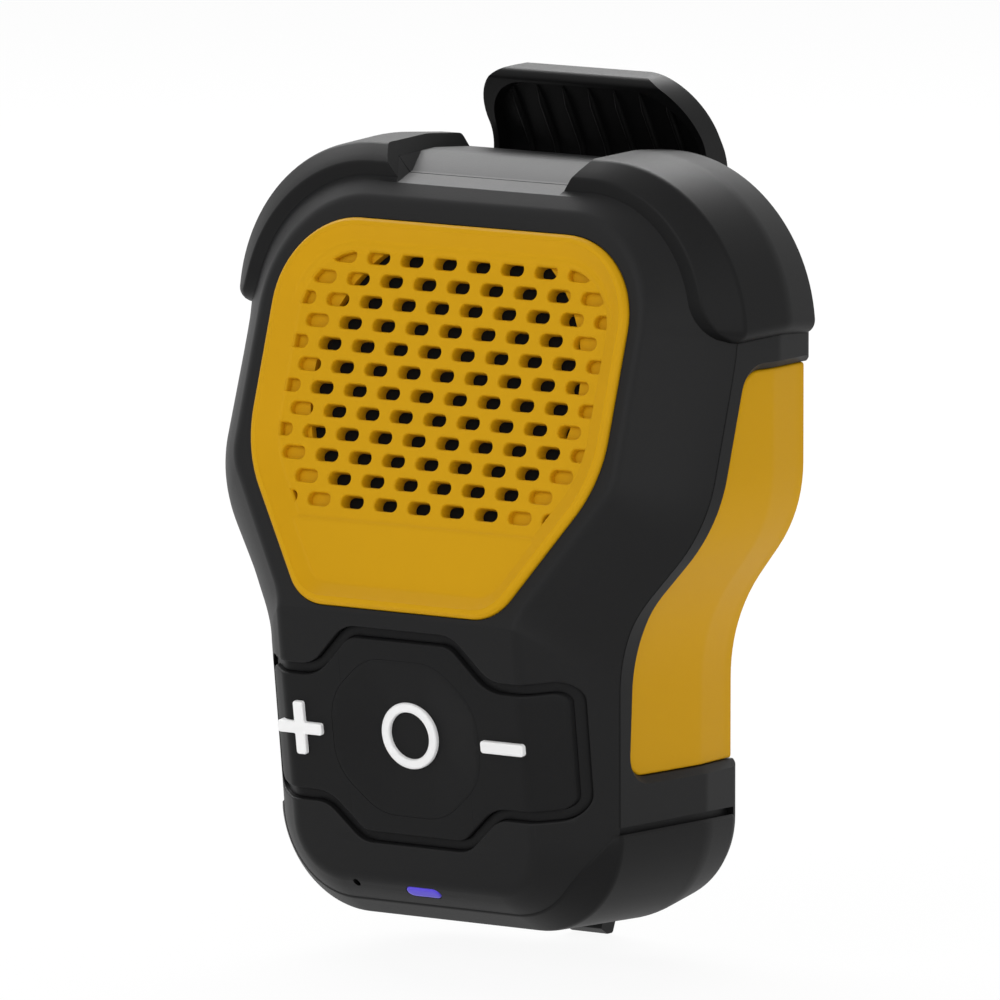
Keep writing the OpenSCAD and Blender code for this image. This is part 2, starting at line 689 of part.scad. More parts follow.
module spider() {
    n = baffle_n - 7.3;
    color("#c8b27a") place() up() rotate_extrude() polygon(concat(
        [for (i = [0:12]) [6.1 + (magnet_r - 5.7) * i / 12, n + 0.3 * sin(90 * i)]],
        [for (i = [12:-1:0]) [6.1 + (magnet_r - 5.7) * i / 12, n - 0.3 + 0.3 * sin(90 * i)]]));
}

module top_plate() color("#7d8084") place() up() tube(magnet_r, 6.6, baffle_n - 11.2, baffle_n - 9.7);
module driver_magnet() color("#55585c") place() up() tube(magnet_r, 7.5, baffle_n - 14, baffle_n - 11.2);
module driver_yoke() color("#7d8084") place() up() union() {
    translate([0, 0, baffle_n - 15.2]) cylinder(h = 1.2, r = magnet_r);
    translate([0, 0, baffle_n - 15.2]) cylinder(h = 5.5, r = 5.2);
}

module driver_screws() {
    n = baffle_n - 2.2;
    color("#8c8f93") place() up() for (a = [45:90:315]) rotate(a) translate([screw_ring, 0, 0]) difference() {
        union() {
            translate([0, 0, n]) cylinder(h = 4, r = 0.8);
            translate([0, 0, n - 0.9]) cylinder(h = 0.9, r = 1.4);
        }
        translate([0, 0, n - 1]) cylinder(h = 0.6, r = 0.6, $fn = 6);
    }
}

module main_board() {
    n1 = board_n;
    color("#1d5c3a") place() low() difference() {
        union() {
            box([-20, -18, n1 - board_t], [20, 15, n1]);
            box([-11.4, -20.2, n1 - board_t], [9, -17.9, n1]);
        }
        twin() for (p = post_list) translate([p[0], p[1], n1 - 3]) cylinder(h = 5, r = 1);
    }
}

module board_screws() {
    n = board_n - board_t;
    color("#8c8f93") place() low() twin() for (p = post_list) translate([p[0], p[1], 0]) difference() {
        union() {
            translate([0, 0, n]) cylinder(h = 4.8, r = 0.8);
            translate([0, 0, n - 0.9]) cylinder(h = 0.9, r = 1.5);
        }
        translate([0, 0, n - 1]) cylinder(h = 0.6, r = 0.6, $fn = 6);
    }
}

module key_switches() {
    color("#c9ccd0") place() low() for (x = [-15.9, 0, 15.9]) translate([x, 0, 0]) union() {
        box([-2.6, -2.6, board_n], [2.6, 2.6, board_n + 2.3]);
        translate([0, 0, board_n + 2.2]) cylinder(h = 1.15, r = 1.3);
    }
}

module led_chip() color("#dfe6ff") place() low() box([-1, -20, board_n], [1, -18.6, board_n + 0.7]);
module microphone() color("#b9bcc0") place() low()
    box([mic_x - 1.1, -20, board_n], [mic_x + 1.1, -17.6, board_n + 1]);
module bluetooth_module() color("#a9adb2") place() low()
    box([-16, -9, board_n - board_t - 2], [-4, 8, board_n - board_t]);

battery_half = 16;
battery_z = 20;
battery_h = 31;
battery_y = back_y - back_wall - 9;
module battery() {
    r = 2.5;
    color("#6f8fb5") place() translate([0, battery_y, 0]) along_y(0, 8.5) polygon(closed_poly([
        [-battery_half, battery_z, r], [battery_half, battery_z, r],
        [battery_half, battery_z + battery_h, r], [-battery_half, battery_z + battery_h, r]]));
}
module battery_foam() color("#3b3b3b") place()
    box([-13, battery_y + 8.5, battery_z + 3], [13, back_y - back_wall, battery_z + battery_h - 3]);

module usb_socket() {
    y0 = port_y - 1.6;
    color("#9a9da1") place() difference() {
        box([-4.5, y0, edge_foot + 4.2], [4.5, y0 + 3.2, edge_foot + 11]);
        box([-4.2, y0 + 0.3, edge_foot + 4], [4.2, y0 + 2.9, edge_foot + 9.5]);
    }
}

// flap over the charging port, its barrel turning in the housing
module cover_room(g) {
    box([-cover_half - g, port_y - 4 - g, 0], [cover_half + g, hinge_y + 0.4 + g, hinge_z + g + 0.25]);
    translate([0, hinge_y, hinge_z]) rod_x(-cover_half - g, cover_half + g, 0.9 + g);
    box([-cover_half - g, hinge_y - 0.9 - g, 0], [cover_half + g, hinge_y + 0.9 + g, hinge_z]);
    translate([0, hinge_y, hinge_z]) rod_x(-cover_half - 1.1, cover_half + 1.1, 0.55);
}
module usb_cover() {
    color("#1c1c1c") place() union() {
        box([-cover_half, port_y - 4, edge_foot - bottom_t], [cover_half, hinge_y, hinge_z + 0.15]);
        translate([0, hinge_y, hinge_z]) rod_x(-cover_half, cover_half, 0.85);
        translate([0, hinge_y, hinge_z]) rod_x(-cover_half - 0.8, cover_half + 0.8, 0.5);
        difference() {
            box([-4.9, port_y - 2, hinge_z], [4.9, port_y + 2, hinge_z + 1.8]);
            box([-4, port_y - 1.2, hinge_z + 0.2], [4, port_y + 1.2, hinge_z + 3]);
        }
    }
}

screw_list = [[5, pivot_z - 7], [-5, pivot_z - 7], [5, pivot_z + 7], [-5, pivot_z + 7]];
module clip_bracket() {
    color("#2b2b2b") place() difference() {
        union() {
            box([-12.8, back_y, pivot_z - 9.5], [12.8, back_y + 2.2, pivot_z + 9.5]);
            twin() hull() {
                translate([0, pivot_y, pivot_z]) rod_x(9.8, 12.8, 3.8);
                box([9.8, back_y + 0.1, pivot_z - 5.5], [12.8, back_y + 2, pivot_z + 5.5]);
            }
        }
        box([-9.7, back_y - 1, pivot_z - 4.6], [9.7, back_y + 3, pivot_z + 4.6]);
        translate([0, pivot_y, pivot_z]) rod_x(-14, 14, pin_d / 2);
        for (s = screw_list) translate([s[0], 0, s[1]]) {
            rod_y(back_y - 1, back_y + 3, 0.9);
            rod_y(back_y + 1.2, back_y + 3, 1.9);
        }
    }
}

module bracket_screws() {
    color("#8c8f93") place() for (s = screw_list) translate([s[0], 0, s[1]]) difference() {
        union() {
            rod_y(back_y - 1.9, back_y + 1.3, 0.9);
            rod_y(back_y + 1.2, back_y + 2.1, 1.8);
        }
        rotate([-90, 0, 0]) translate([0, 0, back_y + 1.6]) cylinder(h = 2, r = 0.8, $fn = 6);
    }
}

module clip_pin() {
    color("#a5a8ac") place() translate([0, pivot_y, pivot_z]) rod_x(-12.8, 12.8, pin_d / 2);
}

// clip arm: side profile through front outline, hollowed from the body side
clip_top = body_top + 10.6;
clip_side = [
    [clip_rear - 6.3, clip_top, 1.2],
    [back_y + 0.2, clip_top - 0.8, 1],
    [clip_front, body_top + 0.9, 6],
    [clip_front, 62, 30],
    [back_y + 2.3, 15, 8],
    [back_y + 5.4, 0.9, 0.3],
    [back_y + 7, 0, 0.3],
    [back_y + 8.2, 0, 0.3],
    [back_y + 5.5, 14, 8],
    [clip_rear, 62, 30],
    [clip_rear, body_top - 0.5, 7]];
clip_outline = [
    [2.5, -1, 1],
    [6, 11.4, 12],
    [10, key_z, 40],
    [clip_half, 84, 40],
    [clip_half, clip_top, 11.5]];
module clip_arm() {
    lug_r = 3.4;
    color("#2a2a2a") place() difference() {
        union() {
            difference() {
                intersection() {
                    along_x(-20, 20) polygon(closed_poly(clip_side));
                    along_y(back_y - 4, clip_rear + 1) polygon(both(half_poly(clip_outline)));
                }
                intersection() {
                    translate([0, -2.1, -0.6]) along_x(-20, 20) polygon(closed_poly(clip_side));
                    along_y(back_y - 9, clip_rear + 1)
                        polygon(both(half_poly(inset(clip_outline, 2))));
                    box([-20, back_y - 9, 24], [20, clip_rear + 5, 120]);
                }
            }
            intersection() {
                translate([0, 1.4, 0.5]) along_x(-20, 20) polygon(closed_poly(clip_side));
                translate([0, -1.4, -0.4]) along_x(-20, 20) polygon(closed_poly(clip_side));
                along_y(back_y - 9, clip_rear + 1) polygon(both(half_poly(inset(clip_outline, 1))));
                for (i = [-3:3]) box([i * 4 - 0.4, back_y - 4, body_top - 4], [i * 4 + 0.4, clip_rear, 120]);
            }
            twin() translate([0, pivot_y, pivot_z]) {
                rod_x(6.5, 9.5, lug_r);
                box([6.5, 0, -lug_r], [9.5, clip_rear - pivot_y - 1, lug_r]);
            }
        }
        translate([0, pivot_y, pivot_z]) rod_x(-11, 11, pin_d / 2 + pin_gap);
        box([-3, back_y - 1, 12], [3, back_y + 3.4, 19]);
    }
}

module clip_pad() {
    color("#1b1b1b") place() union() {
        box([-3, back_y + 1.5, 12], [3, back_y + 3.4, 19]);
        box([-4, back_y + 0.35, 11], [4, back_y + 1.6, 20]);
    }
}

// torsion spring: one round wire wound about the pin, with a leg at each end
module clip_spring() {
    turns = 6;
    coil_r = pin_d / 2 + 0.45 + wire_r;
    steps_n = 16 * turns;
    wide = 11;
    path = concat(
        [[-wide / 2, 3.7 - wire_r, -7], [-wide / 2, coil_r, -1.2]],
        [for (i = [0:steps_n])
            [-wide / 2 + wide * i / steps_n, coil_r * cos(360 * i / 16), coil_r * sin(360 * i / 16)]],
        [[wide / 2, coil_r, 1.2], [wide / 2, 3.7 - wire_r, 7]]);
    k = len(path);
    side_n = 6;
    function ahead(i) = unit(path[min(i + 1, k - 1)] - path[max(i - 1, 0)]);
    function ring_at(i) =
        let (d = ahead(i),
            u = unit(cross(d, [1, 0, 0])),
            v = cross(d, u))
        [for (j = [0:side_n - 1])
            path[i] + wire_r * (u * cos(360 * j / side_n) + v * sin(360 * j / side_n))];
    points = [for (i = [0:k - 1]) each ring_at(i)];
    e = (k - 1) * side_n;
    faces = concat(
        [for (i = [0:k - 2], j = [0:side_n - 1])
            let (a = i * side_n + j, b = i * side_n + (j + 1) % side_n)
            each [[a, b, b + side_n], [a, b + side_n, a + side_n]]],
        [for (j = [1:side_n - 2]) [0, j + 1, j]],
        [for (j = [1:side_n - 2]) [e, e + j, e + j + 1]]);
    color("#b7babd") place() translate([0, pivot_y, pivot_z]) polyhedron(points, faces);
}

front_housing();
rear_housing();
housing_seal();
housing_screws();
shoulder_bumper_left();
shoulder_bumper_right();
bottom_bumper();
side_panel_left();
side_panel_right();
grille();
grille_cloth();
keypad();
key_plus();
key_main();
key_minus();
plus_mark();
ring_mark();
minus_mark();
led_lens();
driver_gasket();
driver_basket();
driver_surround();
driver_cone();
dust_cap();
voice_coil();
spider();
top_plate();
driver_magnet();
driver_yoke();
driver_screws();
main_board();
board_screws();
key_switches();
led_chip();
microphone();
bluetooth_module();
battery();
battery_foam();
usb_socket();
usb_cover();
clip_bracket();
bracket_screws();
clip_arm();
clip_pin();
clip_spring();
clip_pad();
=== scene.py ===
import json
import math
import bmesh
import bpy
import numpy as np
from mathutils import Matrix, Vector
from mathutils.bvhtree import BVHTree
from mathutils.geometry import delaunay_2d_cdt


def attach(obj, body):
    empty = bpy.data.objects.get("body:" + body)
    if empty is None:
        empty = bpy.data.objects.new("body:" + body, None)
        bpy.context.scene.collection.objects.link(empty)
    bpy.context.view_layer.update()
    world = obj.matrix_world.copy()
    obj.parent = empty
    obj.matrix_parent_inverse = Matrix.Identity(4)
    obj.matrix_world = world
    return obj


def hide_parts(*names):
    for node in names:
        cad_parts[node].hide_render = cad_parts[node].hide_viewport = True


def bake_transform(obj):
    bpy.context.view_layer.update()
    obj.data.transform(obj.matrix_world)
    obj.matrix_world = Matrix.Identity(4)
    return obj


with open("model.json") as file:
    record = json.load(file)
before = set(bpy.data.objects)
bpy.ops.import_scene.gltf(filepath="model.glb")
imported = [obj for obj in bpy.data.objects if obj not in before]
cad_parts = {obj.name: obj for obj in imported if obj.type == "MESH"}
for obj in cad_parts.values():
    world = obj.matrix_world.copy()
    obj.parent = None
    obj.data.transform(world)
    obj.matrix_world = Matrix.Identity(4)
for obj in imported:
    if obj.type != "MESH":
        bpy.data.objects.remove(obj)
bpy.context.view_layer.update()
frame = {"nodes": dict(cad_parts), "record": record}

# Sizes in millimetres, before the shift that centres the part; corners are x, height and radius.
BODY_HALF, PAD_HALF, GRILLE_HALF = 38.0, 24.1, 27.6
WAIST_HALF, RIM_HALF = PAD_HALF + 2.3, GRILLE_HALF + 2.1
BODY_TOP, BACK_Y, KEY_Z = 100.0, 34.3, 29.4
LEAN_LOW, LEAN_UP = math.radians(8), math.radians(16.85)
KNEE_Z = KEY_Z + 15.1
KNEE_Y = -(KNEE_Z - KEY_Z) * math.tan(LEAN_LOW)
AXIS_Z = KNEE_Z + 28.8
AXIS_Y = KNEE_Y + (AXIS_Z - KNEE_Z) * math.tan(LEAN_UP)
CROWN, FACET_X, FACET_DEPTH = 0.6, 7.8, 9.9
EDGE_LOW_Y, SHOULDER_Y, SIDE_Y = 9.3, 18.3, BACK_Y - 8
EDGE_FOOT, DROP = 5.4, 2.4
FRONT_WALL, REAR_WALL, BACK_WALL, SEAM = 2.0, 3.8, 2.2, 0.07
SHOULDER_T, SHOULDER_END, BOTTOM_T = 1.68, 5.5, 1.0
GRILLE_PROUD, GRILLE_FOOT = 0.8, -29.05
GROOVE, DISH, MARK_UP = 1.4, 1.2, 0.6
SOUND_R = 20.7
BOTTOM_PROUD, TOUCH, BUMPER_BACK = 0.45, 0.02, BACK_Y - 1.2
CLIP_REAR = BACK_Y + 11
FRONT_MOST = AXIS_Y + (GRILLE_FOOT + 0.6) * math.sin(LEAN_UP) - GRILLE_PROUD * math.cos(LEAN_UP)
SHIFT = np.array([0.0, -(FRONT_MOST + CLIP_REAR) / 2, 0.0])

RIM_R, RIM_RISE = 5.5, 16.3
RIM_DX = RIM_HALF - WAIST_HALF + FACET_X
RIM_HIP = KNEE_Z + RIM_R * math.tan(math.atan2(RIM_DX, RIM_RISE) / 2)
RIM = [(WAIST_HALF - FACET_X, KEY_Z - 18.9, 6.5), (WAIST_HALF - FACET_X, RIM_HIP, RIM_R),
       (RIM_HALF, RIM_HIP + RIM_RISE, 6), (RIM_HALF, BODY_TOP - 4.8, 14)]
EDGE = [(WAIST_HALF - 0.6, EDGE_FOOT, 13), (WAIST_HALF + 0.8, KEY_Z + 13.7, 22),
        (BODY_HALF, KEY_Z + 28, 18), (BODY_HALF, BODY_TOP, 20)]
SIDE = [(WAIST_HALF + 1, EDGE_FOOT - 0.2, 13), (WAIST_HALF + 1.2, KEY_Z + 13.7, 22),
        (BODY_HALF + 0.6, KEY_Z + 28, 18), (BODY_HALF + 0.6, BODY_TOP + 0.4, 20)]
BACK = [(WAIST_HALF + 0.1, EDGE_FOOT + 1.5, 11), (WAIST_HALF + 0.1, KEY_Z + 13.7, 22),
        (BODY_HALF - 0.3, KEY_Z + 28, 18), (BODY_HALF - 0.3, BODY_TOP - 0.1, 20)]
MID = [tuple((np.array(a) + np.array(b)) / 2) for a, b in zip(RIM, EDGE)]

GRILLE_HIP, GRILLE_TAPER = -10.55, 12.45
GRILLE = [(GRILLE_HALF - GRILLE_TAPER, GRILLE_FOOT, 6.5), (GRILLE_HALF, GRILLE_HIP, 18),
          (GRILLE_HALF + 0.05, 20.17, 11.5)]
PAD_END = PAD_HALF + 0.3
PAD = [(8.3, -14.2, 4), (13.4, -9.5, 4), (PAD_END, -9.5, 3),
       (PAD_END, 8.3, 3), (13.9, 8.3, 4.5), (8.4, 13.8, 4.5)]
OCTAGON = [(5, -10.3, 7), (11.4, -4.8, 7), (11.4, 4.5, 7), (5.4, 9.9, 7)]


def unit(v):
    """The vector at length 1."""
    return v / np.linalg.norm(v)


def arc_at(a, b, c, steps):
    """Points of the rounded corner b between its neighbours, at the fractions in steps."""
    p = np.array(b[:2], float)
    u, v = unit(np.array(a[:2]) - p), unit(np.array(c[:2]) - p)
    half = math.acos(float(u @ v)) / 2
    m = p + unit(u + v) * b[2] / math.sin(half)
    s, e = p + u * b[2] / math.tan(half) - m, p + v * b[2] / math.tan(half) - m
    a0 = math.atan2(s[1], s[0])
    turn = (math.atan2(e[1], e[0]) - a0 + math.pi) % (2 * math.pi) - math.pi
    return [m + b[2] * np.array([math.cos(a0 + turn * f), math.sin(a0 + turn * f)]) for f in steps]


def inset(c, t, low=0.0):
    """Corners moved in by t with concentric radii; low lowers the top one more."""
    out = []
    for i, p in enumerate(c):
        a = np.array([0, c[0][1]]) if i == 0 else np.array(c[i - 1][:2])
        b = np.array([0, c[-1][1]]) if i == len(c) - 1 else np.array(c[i + 1][:2])
        q = np.array(p[:2], float)
        d1, d2 = unit(q - a), unit(b - q)
        n1, n2 = np.array([-d1[1], d1[0]]), np.array([-d2[1], d2[0]])
        turn = n1[0] * n2[1] - n1[1] * n2[0]
        q = q + (n1 + n2) * t / (1 + n1 @ n2)
        r = max(p[2] - t, 0.4) if turn > 0 else p[2] + t
        out.append((q[0], q[1] - (low if i == len(c) - 1 else 0), r))
    return out


def between(a, b, m):
    """The m points that cut the straight run from a to b into equal steps."""
    return [a + (b - a) * k / (m + 1) for k in range(1, m + 1)]


# Stations of every body outline: points in its foot, hip, waist and top corner, and on each straight run
FOOT_N, BEND_N, RUN_N = 25, 13, 8
TOP_STEPS = np.concatenate([np.linspace(0, 0.055, 6), np.linspace(0.085, 1, 29)])
S_FOOT_END = FOOT_N - 1
S_TOP = FOOT_N + 2 * BEND_N + 3 * RUN_N


def half_outline(c):
    """Right half of a body outline from the foot to the top, the same stations for every outline."""
    ends = [(0, c[0][1])] + list(c) + [(0, c[-1][1])]
    bend = np.linspace(0, 1, BEND_N)
    out = []
    for i, steps in enumerate((np.linspace(0, 1, FOOT_N), bend, bend, TOP_STEPS)):
        arc = arc_at(*ends[i:i + 3], steps)
        out += (between(out[-1], arc[0], RUN_N) if out else []) + arc
    return np.array(out)


def corner_arcs(c, n):
    """Arcs of the corners of a half outline, then the point where it meets its mirror image."""
    ends = [(0, c[0][1])] + list(c) + [(0, c[-1][1])]
    arcs = [arc_at(*ends[i:i + 3], np.linspace(0, 1, n + 1)) for i in range(len(c))]
    return arcs + [[np.array([0.0, c[-1][1]])]]


def loop_of(c, base, n=16, gap=0.7):
    """Closed loop of a mirrored outline c, its straight runs cut as base's would be into steps of gap."""
    last, base_last = np.array([0.0, c[0][1]]), np.array([0.0, base[0][1]])
    half = [last]
    for arc, base_arc in zip(corner_arcs(c, n), corner_arcs(base, n)):
        half += between(last, arc[0], int(np.linalg.norm(base_arc[0] - base_last) / gap)) + list(arc)
        last, base_last = arc[-1], base_arc[-1]
    half = np.array(half)
    return np.vstack([half, half[1:-1][::-1] * [-1, 1]])


def front_y(z):
    """Depth of the front at a height: two leaning planes with a soft knee."""
    low = -(z - KEY_Z) * math.tan(LEAN_LOW)
    up = KNEE_Y + (z - KNEE_Z) * math.tan(LEAN_UP)
    return 0.5 * (low + up + np.sqrt((low - up) ** 2 + 0.12 ** 2))


def edge_y(z):
    """Depth of the parting edge at a height."""
    up = KNEE_Y + (z - KNEE_Z) * math.tan(LEAN_UP) + FACET_DEPTH
    low = EDGE_LOW_Y - (z - KEY_Z + 6.4) * 0.055
    a = 0.5 * (up + low + np.sqrt((up - low) ** 2 + 0.4))
    return 0.5 * (a + SHOULDER_Y - np.sqrt((a - SHOULDER_Y) ** 2 + 0.4))


def rim_ring(t, flat=0.0):
    """Half ring round the front faces, t below the outside and drawn in by flat."""
    p = half_outline(inset(RIM, 0.5 * t + flat))
    return np.column_stack([p[:, 0], front_y(p[:, 1]) + 1.02 * t, p[:, 1]])


def edge_ring(t, low=0.0, dy=0.0):
    """Half ring of the parting edge, t below the outside; low lowers its top."""
    p = half_outline(inset(EDGE, t, low))
    return np.column_stack([p[:, 0], edge_y(p[:, 1]) + 0.32 * t + dy, p[:, 1]])


def mid_ring(t, low):
    """Half ring along the crown of the facet between the rim and the parting edge."""
    f, e, m = half_outline(RIM), half_outline(EDGE), half_outline(inset(MID, 0.81 * (t - CROWN), low))
    y = (front_y(f[:, 1]) + edge_y(e[:, 1])) / 2 + 0.59 * (t - CROWN)
    return np.column_stack([m[:, 0], y, m[:, 1]])


def level_ring(c, t, y, low=0.0):
    """Half ring of an outline at one depth y."""
    p = half_outline(inset(c, t, low))
    return np.column_stack([p[:, 0], np.full(len(p), y), p[:, 1]])


def crown_at(n):
    """Share of the crown at each station: full up the sides, nearly none over the top."""
    return np.interp(np.arange(n), [S_TOP - 9, S_TOP + 6], [1.0, 0.08]).reshape(-1, 1)


def facet(t, s, low=0.0):
    """Point set at fraction s across the crowned facet, t below it; s may differ between stations."""
    f, e, m = rim_ring(t), edge_ring(t, low), mid_ring(t, low / 2)
    s = np.reshape(np.broadcast_to(s, len(f)), (-1, 1))
    return f + (e - f) * s + 4 * s * (1 - s) * (m - (f + e) / 2) * crown_at(len(f))


def rounded(levels, sizes, segs):
    """Levels with each inner one replaced by a short curve that rounds the edge there."""
    out = [levels[0]]
    for j in range(1, len(levels) - 1):
        if not sizes[j - 1]:
            out.append(levels[j])
            continue
        p = levels[j]
        a, b = levels[j - 1] - p, levels[j + 1] - p
        la, lb = np.linalg.norm(a, axis=1, keepdims=True), np.linalg.norm(b, axis=1, keepdims=True)
        p0 = p + a / la * np.minimum(sizes[j - 1], 0.48 * la)
        p2 = p + b / lb * np.minimum(sizes[j - 1], 0.48 * lb)
        for s in np.linspace(0, 1, segs + 1):
            out.append((1 - s) ** 2 * p0 + 2 * s * (1 - s) * p + s * s * p2)
    out.append(levels[-1])
    return out


MM, SHARP = 0.001, 35
MIRROR = np.array([-1, 1, 1])


def new_object(name, verts, faces):
    """Mesh object from places in millimetres."""
    mesh = bpy.data.meshes.new(name)
    places = (np.asarray(verts, float) + SHIFT) * MM
    mesh.from_pydata(places.tolist(), [], [tuple(int(i) for i in f) for f in faces])
    mesh.validate()
    obj = bpy.data.objects.new(name, mesh)
    bpy.context.scene.collection.objects.link(obj)
    return obj


def walls(count, n, closed=False):
    """Quads between neighbouring loops of n points, and from the last to the first where closed."""
    faces = []
    for k in range(count if closed else count - 1):
        u = (k + 1) % count
        for i in range(n):
            j = (i + 1) % n
            faces.append((k * n + i, u * n + i, u * n + j, k * n + j))
    return faces


def shell(levels):
    """Verts and faces of a capped skin over half rings and their mirror image."""
    m, n = len(levels[0]), 2 * len(levels[0])
    verts = np.vstack([np.vstack([h, h[::-1] * MIRROR]) for h in levels])
    faces = walls(len(levels), n)
    e = (len(levels) - 1) * n
    for i in range(m - 1):
        faces.append((i, i + 1, n - 2 - i, n - 1 - i))
        faces.append((e + i, e + n - 1 - i, e + n - 2 - i, e + i + 1))
    return verts, faces


def sweep(loops):
    """Verts and faces of a capped tube through equal closed loops."""
    n = len(loops[0])
    faces = walls(len(loops), n) + [tuple(range(n))]
    faces.append(tuple((len(loops) - 1) * n + i for i in range(n))[::-1])
    return np.vstack(loops), faces


def gathered(tubes):
    """Verts and faces of several tubes as one mesh."""
    verts, faces, base = [], [], 0
    for v, f in tubes:
        verts.append(v)
        faces += [tuple(base + i for i in face) for face in f]
        base += len(v)
    return np.vstack(verts), faces


def outward(obj):
    """Turns the faces of a closed mesh outwards."""
    me = obj.data
    vol = 0.0
    for p in me.polygons:
        v = [me.vertices[i].co for i in p.vertices]
        for k in range(1, len(v) - 1):
            vol += v[0].dot(v[k].cross(v[k + 1]))
    if vol < 0:
        me.flip_normals()
    return obj


def applied(obj):
    """Replaces the mesh of an object by what its modifiers make of it."""
    mesh = bpy.data.meshes.new_from_object(obj.evaluated_get(bpy.context.evaluated_depsgraph_get()))
    obj.modifiers.clear()
    old, obj.data = obj.data, mesh
    bpy.data.meshes.remove(old)
    return obj


def boolean(obj, cutter, operation="DIFFERENCE"):
    """Cuts obj by the cutter, or joins or intersects the two, and deletes the cutter."""
    mod = obj.modifiers.new("cut", "BOOLEAN")
    mod.operation, mod.object, mod.solver = operation, cutter, "EXACT"
    applied(obj)
    mesh = cutter.data
    bpy.data.objects.remove(cutter)
    bpy.data.meshes.remove(mesh)
    return obj


def solid(name, data):
    """Object of a closed mesh from its verts and faces."""
    return outward(new_object(name, *data))


def cutter_of(loops):
    """Capped tube through equal closed loops, to cut or join with."""
    return solid("cutter", sweep(loops))


def consistent(obj):
    """Makes the faces of a closed mesh agree and look outwards."""
    bm = bmesh.new()
    bm.from_mesh(obj.data)
    bmesh.ops.recalc_face_normals(bm, faces=bm.faces)
    bm.to_mesh(obj.data)
    bm.free()
    return obj


def box(a, b):
    """Cutter between two corners."""
    v = [(x, y, z) for x in (a[0], b[0]) for y in (a[1], b[1]) for z in (a[2], b[2])]
    f = [(0, 1, 3, 2), (4, 6, 7, 5), (0, 4, 5, 1), (2, 3, 7, 6), (0, 2, 6, 4), (1, 5, 7, 3)]
    return solid("cutter", (np.array(v, float), f))


def angles(n):
    """The n equal steps of a full turn."""
    return np.linspace(0, 2 * math.pi, n, endpoint=False)


def circle(r, n):
    """Points of a circle about the origin."""
    return r * np.column_stack([np.cos(angles(n)), np.sin(angles(n))])


ROUND_N = 40


def rod_y(x, z, y0, y1, r):
    """Round cutter along y."""
    p = circle(r, ROUND_N)
    return cutter_of([np.column_stack([x + p[:, 0], np.full(ROUND_N, y), z + p[:, 1]]) for y in (y0, y1)])


def rod_x(x0, x1, y, z, r):
    """Round cutter along x."""
    p = circle(r, ROUND_N)
    return cutter_of([np.column_stack([np.full(ROUND_N, x), y + p[:, 0], z + p[:, 1]]) for x in (x0, x1)])


def shaded(obj, material, angle=SHARP):
    """Smooth shading with sharp edges above an angle, and one material."""
    me = obj.data
    for p in me.polygons:
        p.use_smooth = True
    me.set_sharp_from_angle(angle=math.radians(angle))
    me.materials.clear()
    me.materials.append(material)


def finish(obj, material, body, nodes=(), weighted=True):
    """Shades a piece, lets it ride on a body and hides the nodes it stands for."""
    shaded(obj, material)
    if weighted:
        mod = obj.modifiers.new("normals", "WEIGHTED_NORMAL")
        mod.keep_sharp = True
        mod.weight = 80
    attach(obj, body)
    if nodes:
        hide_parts(*nodes)


def mirrored(obj, name):
    """Mirror image of an object on the other side."""
    me = obj.data.copy()
    me.name = name
    for v in me.vertices:
        v.co.x = -v.co.x
    me.flip_normals()
    out = bpy.data.objects.new(name, me)
    bpy.context.scene.collection.objects.link(out)
    return out


class Face:
    """A flat working frame: u and v along the face, n out of it."""

    def __init__(self, origin, u, v, n):
        self.o, self.u, self.v, self.n = (np.array(q, float) for q in (origin, u, v, n))

    def at(self, uv, n):
        """Places at uv on the face, at the height or heights n above it."""
        n = np.reshape(np.broadcast_to(n, len(uv)), (-1, 1))
        return self.o + uv[:, :1] * self.u + uv[:, 1:2] * self.v + n * self.n

    def height(self, tree, uv, start=40.0):
        """Height of the skin in tree above this face at each point."""
        out = []
        for p in self.at(uv, start):
            hit = tree.ray_cast(Vector(p), Vector(-self.n))
            out.append(start - hit[3] if hit[0] is not None else np.nan)
        return np.array(out)


def leaning(origin, lean):
    """Face that looks to the front, turned down by lean."""
    s, c = math.sin(lean), math.cos(lean)
    return Face(origin, (1, 0, 0), (0, -s, c), (0, -c, -s))


LOW = leaning((0, 0, KEY_Z), LEAN_LOW)
UP = leaning((0, AXIS_Y, AXIS_Z), -LEAN_UP)
CHIN = leaning((0, 3.97, KEY_Z - 19.9), math.radians(52))
RIGHT = Face((0, 0, 0), (0, 1, 0), (0, 0, 1), (1, 0, 0))


def inside(poly, pts):
    """Says which points lie inside a closed 2-D outline."""
    x, y = pts[:, 0], pts[:, 1]
    res = np.zeros(len(pts), bool)
    for a, b in zip(poly, np.roll(poly, -1, axis=0)):
        hit = ((a[1] > y) != (b[1] > y)) & (x < (b[0] - a[0]) * (y - a[1]) / (b[1] - a[1] + 1e-12) + a[0])
        res ^= hit
    return res


def fill(loop, step, us=None):
    """Triangles over a closed 2-D loop with a grid of points inside; the loop's points come first."""
    lo, hi = loop.min(0), loop.max(0)
    us = np.arange(lo[0] + step[0] / 2, hi[0], step[0]) if us is None else us
    g = np.array([(u, v) for u in us for v in np.arange(lo[1] + step[1] / 2, hi[1], step[1])])
    g = g[inside(loop, g)]
    d = np.min(np.linalg.norm(g[:, None] - loop[None], axis=2), axis=1)
    g = g[d > 0.45 * min(step)]
    n = len(loop)
    pts = [Vector(p) for p in np.vstack([loop, g])]
    res = delaunay_2d_cdt(pts, [(i, (i + 1) % n) for i in range(n)], [], 1, 1e-7)
    order = [o[0] for o in res[3]]
    return np.vstack([loop, g]), [tuple(order[i] for i in f) for f in res[2]]


